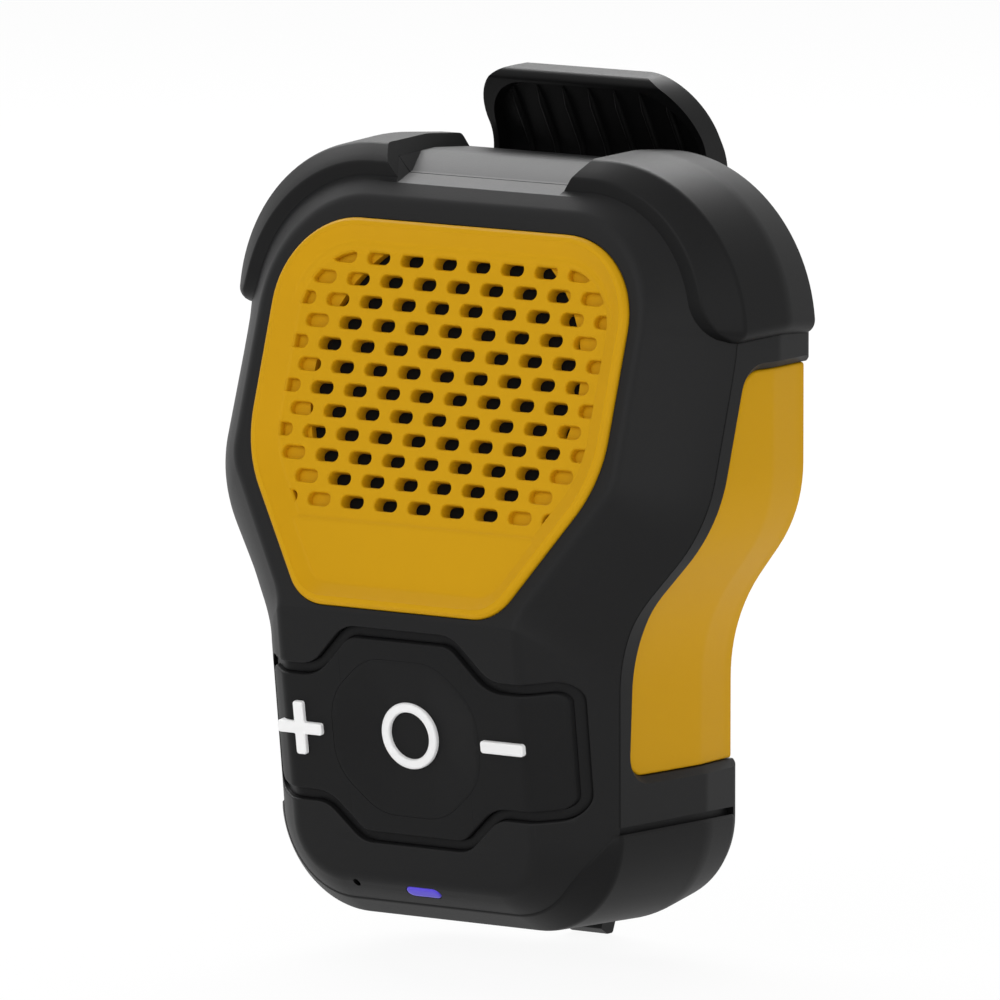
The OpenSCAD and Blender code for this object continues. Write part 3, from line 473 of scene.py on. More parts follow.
def pad(name, face, loops, heights, step, top, bottom=None, us=None):
    """Closed piece: loops from its bottom rim up over a rounded edge, then a filled top.
    heights gives the height of each loop's points, top and bottom those of the points of a fill."""
    n = len(loops[0])
    verts = np.vstack([face.at(l, h) for l, h in zip(loops, heights)])
    faces = [] if bottom else [tuple(range(n))]
    faces += [(a, d, c, b) for a, b, c, d in walls(len(loops), n)]
    for base, loop, level in ((0, loops[0], bottom), ((len(loops) - 1) * n, loops[-1], top)):
        if level is None:
            continue
        pts, tris = fill(loop, step, us)
        start, extra = len(verts), pts[n:]
        verts = np.vstack([verts, face.at(extra, level(extra))])
        faces += [tuple(base + i if i < n else start + i - n for i in t) for t in tris]
    return outward(new_object(name, verts, faces))


# Materials

GRAIN_DEPTH, GLOSS_SPREAD, MOTTLE_SCALE = 0.00004, 0.04, 60


def material(name, colour, rough, specular, grain, scale, mottling, metallic=0.0):
    """Moulded surface: fine grain in the bump and gloss, slow change in the colour."""
    mat = bpy.data.materials.new(name)
    mat.use_nodes = True
    nodes, links = mat.node_tree.nodes, mat.node_tree.links
    bsdf = nodes["Principled BSDF"]
    bsdf.inputs["Specular IOR Level"].default_value = specular
    bsdf.inputs["Metallic"].default_value = metallic
    coords = nodes.new("ShaderNodeTexCoord")
    slow = nodes.new("ShaderNodeTexNoise")
    slow.inputs["Scale"].default_value = MOTTLE_SCALE
    slow.inputs["Detail"].default_value = 3
    links.new(coords.outputs["Object"], slow.inputs["Vector"])
    ramp = nodes.new("ShaderNodeMix")
    ramp.data_type = "RGBA"
    ramp.inputs[6].default_value = [c * (1 - mottling) for c in colour] + [1]
    ramp.inputs[7].default_value = [min(1, c * (1 + mottling)) for c in colour] + [1]
    links.new(slow.outputs["Fac"], ramp.inputs[0])
    links.new(ramp.outputs[2], bsdf.inputs["Base Color"])
    fine = nodes.new("ShaderNodeTexNoise")
    fine.inputs["Scale"].default_value = scale
    fine.inputs["Detail"].default_value = 2
    links.new(coords.outputs["Object"], fine.inputs["Vector"])
    spread = nodes.new("ShaderNodeMapRange")
    spread.inputs["To Min"].default_value = rough - GLOSS_SPREAD
    spread.inputs["To Max"].default_value = rough + GLOSS_SPREAD
    links.new(fine.outputs["Fac"], spread.inputs["Value"])
    links.new(spread.outputs["Result"], bsdf.inputs["Roughness"])
    bump = nodes.new("ShaderNodeBump")
    bump.inputs["Strength"].default_value = grain
    bump.inputs["Distance"].default_value = GRAIN_DEPTH
    links.new(fine.outputs["Fac"], bump.inputs["Height"])
    links.new(bump.outputs["Normal"], bsdf.inputs["Normal"])
    return mat


BLACK = material("black_shell", (0.0085, 0.0085, 0.0088), 0.5, 0.14, 0.25, 5200, 0.06)
RUBBER = material("black_rubber", (0.005, 0.005, 0.0052), 0.5, 0.13, 0.3, 6500, 0.06)
KEYS = material("key_rubber", (0.009, 0.009, 0.0093), 0.52, 0.1, 0.3, 6500, 0.06)
# Black of the clip plastic, set darker than the shell's so that the recess of the thumb tab stays black: its own
# colour with painted shade
ARM = material("clip_plastic", (0.0025, 0.0025, 0.0026), 0.45, 0.12, 0.2, 5200, 0.06)
YELLOW = material("yellow", (0.6, 0.316, 0.004), 0.5, 0.09, 0.2, 5200, 0.03)
WHITE = material("white_mark", (0.9, 0.9, 0.9), 0.5, 0.4, 0.1, 6500, 0.01)
LENS = material("lens", (0.12, 0.078, 0.85), 0.3, 0.3, 0.05, 6500, 0.05)
CLOTH = material("cloth", (0.006, 0.006, 0.006), 0.9, 0.1, 0.6, 3000, 0.2)
FOAM = material("foam", (0.03, 0.03, 0.03), 0.9, 0.2, 0.6, 2500, 0.2)
STEEL = material("steel", (0.55, 0.55, 0.57), 0.32, 0.5, 0.1, 5000, 0.05, 1.0)
MAGNET = material("magnet", (0.09, 0.09, 0.1), 0.6, 0.4, 0.4, 2500, 0.1)
PAPER = material("paper", (0.025, 0.026, 0.03), 0.75, 0.3, 0.5, 2500, 0.15)
SPIDER = material("spider_cloth", (0.5, 0.36, 0.14), 0.85, 0.2, 0.5, 2500, 0.1)
COPPER = material("copper", (0.7, 0.28, 0.12), 0.35, 0.5, 0.2, 5000, 0.05, 1.0)
BOARD = material("board", (0.012, 0.12, 0.045), 0.4, 0.5, 0.15, 1500, 0.15)
CHIP = material("chip", (0.1, 0.1, 0.105), 0.5, 0.4, 0.2, 3000, 0.1)
CELL = material("cell", (0.14, 0.24, 0.42), 0.45, 0.5, 0.1, 3000, 0.06)
BY_SLOT = {
    "black_shell": BLACK, "black_rubber": RUBBER, "yellow": YELLOW, "white_mark": WHITE, "lens": LENS, "cloth": CLOTH,
    "foam": FOAM, "steel": STEEL, "spring_steel": STEEL, "magnet": MAGNET, "paper": PAPER, "spider_cloth": SPIDER,
    "copper": COPPER, "board": BOARD, "chip": CHIP, "cell": CELL}
for entry in frame["record"]["subparts"]:
    node = frame["nodes"][entry["node"]]
    node.data.materials.clear()
    node.data.materials.append(BY_SLOT[entry["material_slot"]])

# Shells of the body


def front_levels():
    """Half rings of the front shell, from its face over the facet to the inside."""
    outer = rounded([rim_ring(0, 4), rim_ring(0), facet(0, 0.2)], [0.9], 6)[:-1]
    outer += [facet(0, s) for s in np.linspace(0.2, 0.9, 9)]
    tail = [facet(0, 0.9), edge_ring(0), edge_ring(FRONT_WALL, DROP), facet(FRONT_WALL, 0.8, DROP)]
    outer += rounded(tail, [0.15, 0], 3)[1:-1]
    return outer + [facet(FRONT_WALL, s, DROP) for s in (0.75, 0.5, 0.25)] + [rim_ring(FRONT_WALL)]


def rear_levels():
    """Half rings of the rear shell, from the inside over the parting edge to the back."""
    w = REAR_WALL
    key = [level_ring(BACK, w + 1, BACK_Y - BACK_WALL, DROP), level_ring(BACK, w, BACK_Y - BACK_WALL, DROP),
           level_ring(SIDE, w, SIDE_Y, DROP), edge_ring(w, DROP, SEAM), edge_ring(0, 0, 0.05),
           level_ring(SIDE, 0, SIDE_Y), level_ring(BACK, 0, BACK_Y), level_ring(BACK, 4, BACK_Y)]
    return rounded(key, [0, 0, 0, 0.15, 0.5, 1.1], 6)


front = solid("front_shell", shell(front_levels()))
rear = solid("rear_shell", shell(rear_levels()))


def tree_of(obj):
    """Search tree of the faces of an object, in millimetres."""
    me = obj.data
    return BVHTree.FromPolygons([Vector(np.array(v.co) * 1000 - SHIFT) for v in me.vertices],
                                [tuple(p.vertices) for p in me.polygons])


FRONT_TREE, REAR_TREE = tree_of(front), tree_of(rear)


NOTCH_Z, NOTCH_HALF, NOTCH_LEAN = BODY_TOP - 3.3, 12.3, 0.75
NOTCH_FLOOR = [(8, -1.48), (15, 0.35), (19.4, 1.5), (23.6, 3.75), (40, 4.6), (40, 13), (8, 13)]


def notch_cutter(floor=True):
    """Gap between the shoulder bumpers: walls that lean outwards, and a floor that climbs to the back."""
    v = np.array([(sx * (NOTCH_HALF + NOTCH_LEAN * up), y, NOTCH_Z + up) for up in (-4, 14)
                  for sx, y in ((-1, 9), (1, 9), (1, 40), (-1, 40))])
    f = [(0, 1, 2, 3), (4, 7, 6, 5), (0, 4, 5, 1), (1, 5, 6, 2), (2, 6, 7, 3), (3, 7, 4, 0)]
    wedge = solid("wedge", (v, f))
    if not floor:
        return wedge
    ring = lambda x: np.array([(x, y, NOTCH_Z + up) for y, up in NOTCH_FLOOR])
    return boolean(wedge, cutter_of([ring(-40), ring(40)]), "INTERSECT")


RIM_FILLET = [(1.25, -0.25), (0.72, 0.02), (0.42, 0.12), (0.2, 0.32), (0.06, 0.6), (0.0, 1.0)]


def rimmed_cutter(face, outline, skin, fillet, top, bottom):
    """Prism through the skin with a mouth flared by a fillet; outline(d) is its section grown by d."""
    loops = [face.at(outline(fillet * RIM_FILLET[0][0]), top)]
    for d, t in RIM_FILLET:
        uv = outline(d * fillet)
        loops.append(face.at(uv, skin(uv) - t * fillet))
    return cutter_of(loops + [face.at(outline(0.0), bottom)])


def grille_x(w):
    """Half-width of the grille at height w of its tapered foot."""
    return GRILLE_HALF - GRILLE_TAPER * (GRILLE_HIP - w) / (GRILLE_HIP - GRILLE_FOOT)


def plates(base, rows):
    """Loops of an outline on the grille's plane at the insets and heights in rows."""
    return [UP.at(loop_of(inset(base, t), base), n) for t, n in rows]


FIELD_LOW, BOSS_LOW, FIELD_N, SKIN_N = -21.5, -22.4, -0.7, -2.7
FIELD = [(grille_x(FIELD_LOW), FIELD_LOW, 3), GRILLE[1], (GRILLE_HALF + 0.05, 19.8, 11.8)]
BOSS = [(grille_x(BOSS_LOW), BOSS_LOW, 3), GRILLE[1], GRILLE[2]]


def lower_skin(uv):
    """Height of the front skin above the key face, its hidden part carried on from the edge."""
    h = LOW.height(FRONT_TREE, uv)
    return np.where(np.isnan(h), -9.0, h)


boolean(front, rimmed_cutter(LOW, lambda d: loop_of(inset(PAD, -d), PAD), lower_skin, 0.3, 8, -14))
boolean(front, cutter_of(plates(GRILLE, [(-0.12, 6), (-0.12, -1.25)])))
boolean(front, cutter_of(plates(BOSS, [(0.7, -0.5), (0.7, -6)])))
for obj in (front, rear):
    boolean(obj, notch_cutter())


PILL_HALF, PILL_R = 1.7, 0.9
MIC_X, MIC_Z, MIC_R = -10.2, KEY_Z - 19.6, 0.5
LENS_RIM = [(0.0, 4.0), (0.0, 0.1), (-0.03, 0.02), (-0.1, -0.04), (-0.2, -0.08)]


def pill(d):
    """Outline of the light window grown by d."""
    b, r = np.radians(np.linspace(-90, 90, 13)), PILL_R + d
    end = np.column_stack([PILL_HALF + r * np.cos(b), r * np.sin(b)])
    line = np.linspace(1, -1, 12)[1:-1, None] * [PILL_HALF, 0]
    return np.vstack([end, line + [0, r], end * [-1, -1], -line - [0, r]])


def chin_skin(uv):
    """Height of the front skin above the plane of the chin."""
    return CHIN.height(FRONT_TREE, uv)


boolean(front, rimmed_cutter(CHIN, lambda d: pill(0.05 + d), chin_skin, 0.12, 3, -6))
boolean(front, rod_y(MIC_X, MIC_Z, -3, 12, MIC_R))
finish(front, BLACK, "speaker", ["front_housing"])
loops = [pill(d) for d, _ in LENS_RIM]
heights = [chin_skin(l) - t for l, (_, t) in zip(loops, LENS_RIM)]
lens = consistent(pad("led_lens_skin", CHIN, loops, heights, (0.3, 0.3), lambda q: chin_skin(q) + 0.1))
finish(lens, LENS, "speaker", ["led_lens"])

# Side panels and their pockets

PANEL_Y, PANEL_Z0, PANEL_Z1 = EDGE_LOW_Y + 2.7, KEY_Z - 4.3, KEY_Z + 46.8
PANEL_HIP, PANEL_LEAN, PANEL_CUTS = PANEL_Z0 + 22.1, 8.8, (24, 24, 34, 14, 40)
PANEL_SUNK, PANEL_UNDER, POCKET_DEEP = 1.0, 2.3, 2.42
POCKET_RIM = [(1.2, -0.3), (0.95, -0.02), (0.88, 0.04), (0.1, 0.88), (0.03, 0.97), (0.0, 1.1), (0.0, POCKET_DEEP)]
PANEL_RIM = [(0.0, 1.3), (0.0, 0.4), (0.03, 0.22), (0.12, 0.1), (0.24, 0.03), (0.4, 0.0)]


def panel_loop(g, y1=BACK_Y - 0.5):
    """Outline of the side panel in depth and height, grown by g."""
    y0, z0, z1 = PANEL_Y - g, PANEL_Z0 - g, PANEL_Z1 + g
    c = [(y1, z0), (y0, z0, 3 + g), (y0, PANEL_HIP, 12), (y0 + PANEL_LEAN, z1, 3.5 + g), (y1, z1)]
    bends = [arc_at(*c[i:i + 3], np.linspace(0, 1, 15)) for i in range(3)]
    pts = [np.array(c[0])]
    for m, run in zip(PANEL_CUTS, bends + [[np.array(c[4])]]):
        pts += between(pts[-1], run[0], m) + list(run)
    return np.array(pts + between(pts[-1], pts[0], PANEL_CUTS[-1]))


def side_skin(uv):
    """Height of the side of the rear shell, carried on past the back."""
    q = np.column_stack([np.minimum(uv[:, 0], BACK_Y - 1.5), uv[:, 1]])
    return RIGHT.height(REAR_TREE, q, 60)


def pocket_cutter():
    """Pocket of the right panel: a chamfered mouth, and a floor that follows the side."""
    past = BACK_Y + 3
    loops = [RIGHT.at(panel_loop(POCKET_RIM[0][0], past), 60)]
    for d, t in POCKET_RIM:
        uv = panel_loop(d, past)
        loops.append(RIGHT.at(uv, side_skin(uv) - t))
    n, count = len(uv), len(loops)
    pts, tris = fill(uv, (1.2, 2.2))
    loops.append(RIGHT.at(pts[n:], side_skin(pts[n:]) - POCKET_DEEP))
    faces = [tuple(range(n))] + walls(count, n) + [tuple((count - 1) * n + i for i in t) for t in tris]
    return consistent(new_object("cutter", np.vstack(loops), faces))


right_pocket = pocket_cutter()
left_pocket = mirrored(right_pocket, "cutter_left")
boolean(rear, right_pocket)
boolean(rear, left_pocket)

loops = [panel_loop(-0.08 - d) for d, _ in PANEL_RIM]
heights = [side_skin(l) - PANEL_SUNK - t for l, (_, t) in zip(loops, PANEL_RIM)]
crease = SIDE_Y + np.array([-0.7, -0.45, -0.2, 0, 0.2, 0.45, 0.7])
across = np.concatenate([np.arange(PANEL_Y + 0.6, SIDE_Y - 1, 1.0), crease,
                         np.arange(SIDE_Y + 1.5, BACK_Y - 0.6, 1.0)])
panel = consistent(pad("side_panel_right_skin", RIGHT, loops, heights, (1.0, 1.4),
                       lambda q: side_skin(q) - PANEL_SUNK, lambda q: side_skin(q) - PANEL_UNDER, across))
twin = mirrored(panel, "side_panel_left_skin")
finish(panel, YELLOW, "speaker", ["side_panel_right"])
finish(twin, YELLOW, "speaker", ["side_panel_left"])

# Screw holes, port and cover room in the rear shell

SCREWS = [(GRILLE_HALF - 2.6, AXIS_Z + 14.6), (GRILLE_HALF - 7.1, AXIS_Z - 19.4)]
PORT_Y, HINGE_UP = 15.2, 0.9
HINGE_Y, HINGE_Z = PORT_Y + 5.2, EDGE_FOOT - BOTTOM_T + HINGE_UP


def cover_room():
    """Room in which the port cover lies and turns."""
    return box((-7.25, PORT_Y - 4.25, 0), (7.25, HINGE_Y + 1.15, HINGE_Z + 1.1))


for sx in (-1, 1):
    for x, z in SCREWS:
        boolean(rear, rod_y(sx * x, z, BACK_Y - 2.1, BACK_Y + 1, 2.4))
boolean(rear, cover_room())
boolean(rear, box((-5.6, PORT_Y - 2.6, 0), (5.6, PORT_Y + 2.6, 14)))


def foot_groove(side):
    """Narrow groove in the side of the shell, just above the end of the bottom bumper."""
    i = S_FOOT_END

    def line(t, up):
        levels = [facet(t, 0.97), edge_ring(t), level_ring(SIDE, t, SIDE_Y), level_ring(BACK, t, BUMPER_BACK)]
        return [l[i] + unit(l[i + 1] - l[i]) * up for l in levels]

    loops = [np.array(line(-0.4, up) + line(0.85, up)[::-1]) * [side, 1, 1] for up in (0.1, 1.25)]
    return consistent(cutter_of(loops))


for sx in (-1, 1):
    boolean(rear, foot_groove(sx))
finish(rear, BLACK, "speaker", ["rear_housing"])

# Bumpers


def strip(levels, inner, order):
    """Closed loops across a band, one for each station in order."""
    return [np.array([l[i] for l in levels] + [l[i] for l in inner[::-1]]) for i in order]


def shoulder():
    """Tube of the right shoulder bumper, from its lower end to the middle of the top."""
    t = SHOULDER_T
    edge = edge_ring(0)
    run = np.concatenate([np.zeros(S_TOP), np.cumsum(np.linalg.norm(np.diff(edge[S_TOP - 1:], axis=0), axis=1))])
    run = np.maximum(run - run[S_TOP], 0)
    turn = np.clip(1 - run / SHOULDER_END, 0, 1)
    s0 = 0.5 + 0.42 * (1 - np.sqrt(1 - turn ** 2))
    back, side = lambda q, y=BUMPER_BACK: level_ring(BACK, q, y), lambda q: level_ring(SIDE, q, SIDE_Y)
    radii = [0.3, 0, 0.45, 0.9, 0.5]
    outer = rounded([facet(-TOUCH, s0), facet(-0.9 * t, s0 + 0.1), facet(-t, s0 + (1 - s0) * 0.5), edge_ring(-t),
                     side(-t), back(-t), back(-TOUCH)], radii, 4)
    flat = rounded([facet(-TOUCH, s0), facet(-0.025, s0 + 0.1), facet(-0.03, s0 + (1 - s0) * 0.5), edge_ring(-0.03),
                    side(-0.03), back(-0.03), back(-TOUCH, BUMPER_BACK - TOUCH)], radii, 4)
    lift = [facet(-TOUCH, s0 + (1 - s0) * f) for f in (0.25, 0.5, 0.75)] + [edge_ring(-TOUCH), side(-TOUCH)]
    order = list(range(S_TOP, len(edge)))
    loops, base = strip(outer, lift, order), strip(flat, lift, order)
    for k, f in enumerate((0.08, 0.5, 0.74, 0.89, 0.97)):
        loops[k] = base[k] + (loops[k] - base[k]) * f
    last = loops[-1]
    return sweep(loops + [last * [f, 1, 1] for f in (0.75, 0.5, 0.25, 0.0)])


right = consistent(solid("shoulder_bumper_right_skin", shoulder()))
boolean(right, notch_cutter(False))
left = mirrored(right, "shoulder_bumper_left_skin")
finish(right, RUBBER, "speaker", ["shoulder_bumper_right"])
finish(left, RUBBER, "speaker", ["shoulder_bumper_left"])


def bottom():
    """Tube of the bottom bumper from end to end; towards its ends its front edge runs back."""
    t, n = BOTTOM_PROUD, S_FOOT_END + 1
    fade = np.clip((np.linspace(0, 1, n) - 0.55) / 0.45, 0, 1) ** 2.2 * 0.8
    radii = [0.25, 0.5, 1.2, 0.8]

    def on_facet(depth, s):
        return np.array([facet(depth, s + (1 - s) * f)[i] for i, f in enumerate(fade)])

    def behind(q, end):
        return [r[:n] for r in (edge_ring(q), level_ring(SIDE, q, SIDE_Y), level_ring(BACK, q, BUMPER_BACK),
                                level_ring(BACK, -TOUCH, end))]

    start, middle = on_facet(-TOUCH, 0.5), on_facet(-TOUCH, 0.75)
    lift = [middle] + behind(-TOUCH, BUMPER_BACK)[:2]
    outer = rounded([start, on_facet(-0.3 * t, 0.53)] + behind(-t, BUMPER_BACK), radii, 4)
    flat = rounded([start, middle] + behind(-TOUCH, BUMPER_BACK - 0.01), radii, 4)
    side, foot = strip(outer, lift, range(n)), strip(flat, lift, range(n))[-1]
    end = side[-1]
    side[-1] = end + (foot - end) * 0.06
    side.append(foot + [0, 0, 0.32] + (end - foot) * 0.25)
    return sweep([l * MIRROR for l in side[::-1]] + side)


under = consistent(solid("bottom_bumper_skin", bottom()))
boolean(under, cover_room())
finish(under, RUBBER, "speaker", ["bottom_bumper"])

# Port cover: the solid's own form, with its outer face brought level with the bumper

cover = bpy.data.objects.new("usb_cover_skin", frame["nodes"]["usb_cover"].data.copy())
bpy.context.scene.collection.objects.link(cover)
for v in cover.data.vertices:
    below = min(max((HINGE_Z - v.co.z * 1000) / HINGE_UP, 0), 1)
    v.co.z += below * (BOTTOM_T - BOTTOM_PROUD - 0.05) * MM
finish(cover, RUBBER, "port_cover", ["usb_cover"], weighted=False)

# Grille

LIP = [(0.7, 1.4), (0.95, 0.9), (1.05, 0.78), (1.2, 0.68)]
grille = solid("grille_plate", sweep(plates(GRILLE, [
    (0.66, GRILLE_PROUD - 0.001), (0.5, GRILLE_PROUD - 0.03), (0.36, GRILLE_PROUD - 0.12), (0.1, GRILLE_PROUD - 0.4),
    (0.02, GRILLE_PROUD - 0.55), (0, GRILLE_PROUD - 0.75), (0, -1.2)])))
boolean(grille, cutter_of(plates(BOSS, [(0.8, -0.2), (0.8, -3.8), (0.9, -3.9)])), "UNION")
for base, rows in ((GRILLE, [(2.6, -0.1), (2.75, -0.17), (2.95, -0.22), (3.1, -0.25)]),
                   (FIELD, [(3.45, -0.58), (3.62, -0.65), (3.85, -0.69), (4.0, FIELD_N)])):
    boolean(grille, cutter_of(plates(base, LIP + rows)))
field_edge = loop_of(inset(FIELD, 3.8), FIELD, n=8, gap=50)


def clipped(poly, region):
    """Part of a convex outline that lies inside a convex region."""
    out = list(poly)
    for a, b in zip(region, np.roll(region, -1, axis=0)):
        across = np.array([a[1] - b[1], b[0] - a[0]])
        side = [float((p - a) @ across) for p in out]
        new = []
        for i, p in enumerate(out):
            k = (i + 1) % len(out)
            if side[i] >= 0:
                new.append(p)
            if (side[i] >= 0) != (side[k] >= 0):
                new.append(p + (out[k] - p) * side[i] / (side[i] - side[k]))
        out = new
        if len(out) < 3:
            return None
    return np.array(out)


def evenly(poly, n):
    """The outline cut into n equal steps."""
    closed = np.vstack([poly, poly[:1]])
    run = np.concatenate([[0], np.cumsum(np.linalg.norm(np.diff(closed, axis=0), axis=1))])
    at = np.linspace(0, run[-1], n, endpoint=False)
    return np.column_stack([np.interp(at, run, closed[:, 0]), np.interp(at, run, closed[:, 1])])


def grown(loop, d):
    """A convex outline with its points moved out by d."""
    t = np.roll(loop, -1, axis=0) - loop
    n = np.column_stack([t[:, 1], -t[:, 0]]) / np.linalg.norm(t, axis=1, keepdims=True)
    m = n + np.roll(n, 1, axis=0)
    return loop + d * m / np.maximum(1 + (n * np.roll(n, 1, axis=0)).sum(1), 0.5)[:, None]


SLOT_HALF, SLOT_R = 1.75, 0.8
SLOT_STEP, ROW_STEP, ROW_TOP = 5.23, 2.826, 15.36


def slot_outline(x, w):
    """Outline of the slot with its middle at x, w."""
    r, e = SLOT_R, SLOT_HALF - SLOT_R
    b = np.radians(np.linspace(-90, 90, 17))
    right_end = np.column_stack([x + e + r * np.cos(b), w + r * np.sin(b)])
    left_end = np.column_stack([x - e - r * np.cos(b), w - r * np.sin(b)])
    return np.vstack([right_end, left_end])


def slot_cutters(rows, region, least):
    """One mesh of all the slots, each held inside the region."""
    tubes = []
    for k in range(12):
        for i in range(-5, 6):
            x, w = (i + (0.5 if k % 2 == 0 else 0)) * SLOT_STEP, ROW_TOP - k * ROW_STEP
            held = clipped(slot_outline(x, w), region)
            if held is None or np.ptp(held[:, 0]) < least:
                continue
            held = evenly(held, 36)
            tubes.append(sweep([UP.at(grown(held, d), n) for d, n in rows]))
    return solid("cutter", gathered(tubes))


boolean(grille, slot_cutters([(0.3, -0.5), (0.2, -0.68), (0.11, -0.75), (0.03, -0.86), (0.0, -1.0), (0.0, -1.75)],
                             field_edge, 0.9))
mouth = evenly(clipped(circle(SOUND_R, 96), loop_of(inset(FIELD, 3), FIELD, n=8, gap=50)), 120)
boolean(grille, cutter_of([UP.at(mouth, -5), UP.at(mouth, SKIN_N)]))
boolean(grille, slot_cutters([(-0.004, -1.5), (-0.004, -3.2)], grown(mouth, -0.03), 0.5))
cloth = solid("grille_cloth_skin", sweep([UP.at(grown(mouth, -0.05), n) for n in (SKIN_N - 0.01, SKIN_N - 0.4)]))
finish(cloth, CLOTH, "speaker", ["grille_cloth"])
finish(grille, YELLOW, "speaker", ["grille"])

# Keypad, keys and marks


def skin_pad(name, base, rim, step, depth, drop=None):
    """Piece whose top follows the front skin inside an outline, with a rounded rim."""
    rows = [(0.0, depth)] + rim
    loops = [loop_of(inset(base, d), base, gap=0.5) for d, t in rows]
    low = drop or (lambda q: 0.0)
    heights = [lower_skin(l) - t - low(l) for l, (d, t) in zip(loops, rows)]
    return consistent(pad(name, LOW, loops, heights, step, lambda q: lower_skin(q) - low(q)))


KEY_RIM = [(0.0, 0.35), (0.03, 0.2), (0.1, 0.09), (0.2, 0.03), (0.35, 0.0)]
KEY_DEEP, KEY_GAP, WING_X, DISH_RUN = 2.2, 0.015, 9.5, 7
PLATEAU = inset(PAD, GROOVE)


def edge_distance(loop, q):
    """Distance of each point from the nearest edge of the loop."""
    a, b = loop, np.roll(loop, -1, axis=0)
    ab = b - a
    t = np.clip(((q[:, None] - a[None]) * ab[None]).sum(2) / (ab * ab).sum(1)[None], 0, 1)
    return np.min(np.linalg.norm(q[:, None] - (a[None] + ab[None] * t[:, :, None]), axis=2), axis=1)


octagon = loop_of(OCTAGON, OCTAGON, gap=0.4)


def dish(q):
    """Depth of the dish in the main key."""
    f = np.clip(edge_distance(octagon, q) / DISH_RUN, 0, 1)
    return DISH * f * (2 - f) * (0.35 + 0.65 * f)


def key_part(name, step, *cuts):
    """Raised field of the keypad outside the main key, less the ranges of x in cuts."""
    part = skin_pad(name, PLATEAU, KEY_RIM, step, KEY_DEEP)
    uv = loop_of(inset(OCTAGON, -KEY_GAP), OCTAGON)
    boolean(part, cutter_of([LOW.at(uv, -14), LOW.at(uv, 8)]))
    for x0, x1 in cuts:
        boolean(part, box((x0, -40, -10), (x1, 40, 70)))
    return part


def closed_tube(name, loops):
    """Tube through loops in a ring, the last joined to the first."""
    return consistent(new_object(name, np.vstack(loops), walls(len(loops), len(loops[0]), closed=True)))


main = skin_pad("key_main_skin", OCTAGON, [(0.0, 0.06), (0.02, 0.02), (0.06, 0.0)], (0.6, 0.6), KEY_DEEP, dish)
finish(main, KEYS, "main_key", ["key_main"])
minus = key_part("key_minus_skin", (0.45, 1.1), (-60, WING_X + 0.01))
finish(minus, KEYS, "minus_key", ["key_minus"])
plus = key_part("key_plus_skin", (0.45, 1.1), (-WING_X - 0.01, 60))
finish(plus, KEYS, "plus_key", ["key_plus"])
border = key_part("keypad_border", (1.1, 1.1), (-60, -WING_X), (WING_X, 60))
finish(border, KEYS, "speaker")

GROOVE_ROWS = [(0.03, 2.6), (0.03, 1.05), (0.08, 0.95), (0.2, 0.9)]
GROOVE_ROWS += [(GROOVE - d, t) for d, t in GROOVE_ROWS[::-1]]
loops = []
for d, t in GROOVE_ROWS:
    uv = loop_of(inset(PAD, d), PAD)
    loops.append(LOW.at(uv, lower_skin(uv) - t))
finish(closed_tube("keypad_groove", loops), KEYS, "speaker", ["keypad"])

MARK_ROUND, RING_ROUND = 0.22, 0.3
RING_OUT, RING_IN, RING_FOOT = 4.3, 3.05, -DISH - 0.3
MINUS_X, PLUS_X = 15.3, -16.3


def flat_mark(name, loop_at, bottom, body, node):
    """Raised mark: walls, a rounded edge and a flat top. loop_at gives its outline drawn in by d."""
    r = MARK_ROUND
    rows = [(0.0, bottom), (0.0, MARK_UP - r)]
    rows += [(r * (1 - math.cos(b)), MARK_UP - r * (1 - math.sin(b))) for b in np.radians((22.5, 45, 67.5, 90))]
    obj = consistent(solid(name, sweep([LOW.at(loop_at(d), h) for d, h in rows])))
    finish(obj, WHITE, body, [node])


def corner(x, y, r, start):
    """Quarter round about x, y, from the angle start."""
    return [(x + r * math.cos(b), y + r * math.sin(b)) for b in np.radians(np.linspace(start, start + 90, 7))]


def bar_loop(x, y, d, r=0.42):
    """Rounded bar of half-sizes x and y, drawn in by d."""
    r, x, y = r - d, x - r, y - r
    return np.array(corner(x, -y, r, -90) + corner(x, y, r, 0) + corner(-x, y, r, 90) + corner(-x, -y, r, 180))


def plus_loop(d, w=0.78, l=3.45, r=0.38):
    """Rounded plus drawn in by d; w is half the width of an arm, l its length."""
    pts = []
    for q in range(4):
        c, s = math.cos(q * math.pi / 2), math.sin(q * math.pi / 2)
        arm = corner(l - r, r - w, r - d, -90) + corner(l - r, w - r, r - d, 0)
        arm += [(w - d + 0.25 * f, w - d + 0.25 * g) for f, g in ((1.0, 0.0), (0.45, 0.08), (0.08, 0.45), (0.0, 1.0))]
        pts += [(u * c - v * s, u * s + v * c) for u, v in arm]
    return np.array(pts)


flat_mark("minus_mark_skin", lambda d: bar_loop(3.3, 0.8, d) + [MINUS_X, 0], -0.6, "minus_key", "minus_mark")
flat_mark("plus_mark_skin", lambda d: plus_loop(d) + [PLUS_X, 0], -1.6, "plus_key", "plus_mark")
top = MARK_UP - DISH
bend = [(RING_ROUND * (1 - math.cos(q)), top - RING_ROUND * (1 - math.sin(q))) for q in np.radians((30, 60, 90))]
profile = [(RING_OUT, RING_FOOT), (RING_OUT, top - RING_ROUND)] + [(RING_OUT - d, h) for d, h in bend]
profile += [(RING_IN + d, h) for d, h in bend[::-1]] + [(RING_IN, top - RING_ROUND), (RING_IN, RING_FOOT)]
ring_mark = closed_tube("ring_mark_skin", [LOW.at(circle(r, 72), h) for r, h in profile])
finish(ring_mark, WHITE, "main_key", ["ring_mark"])

# Clip arm

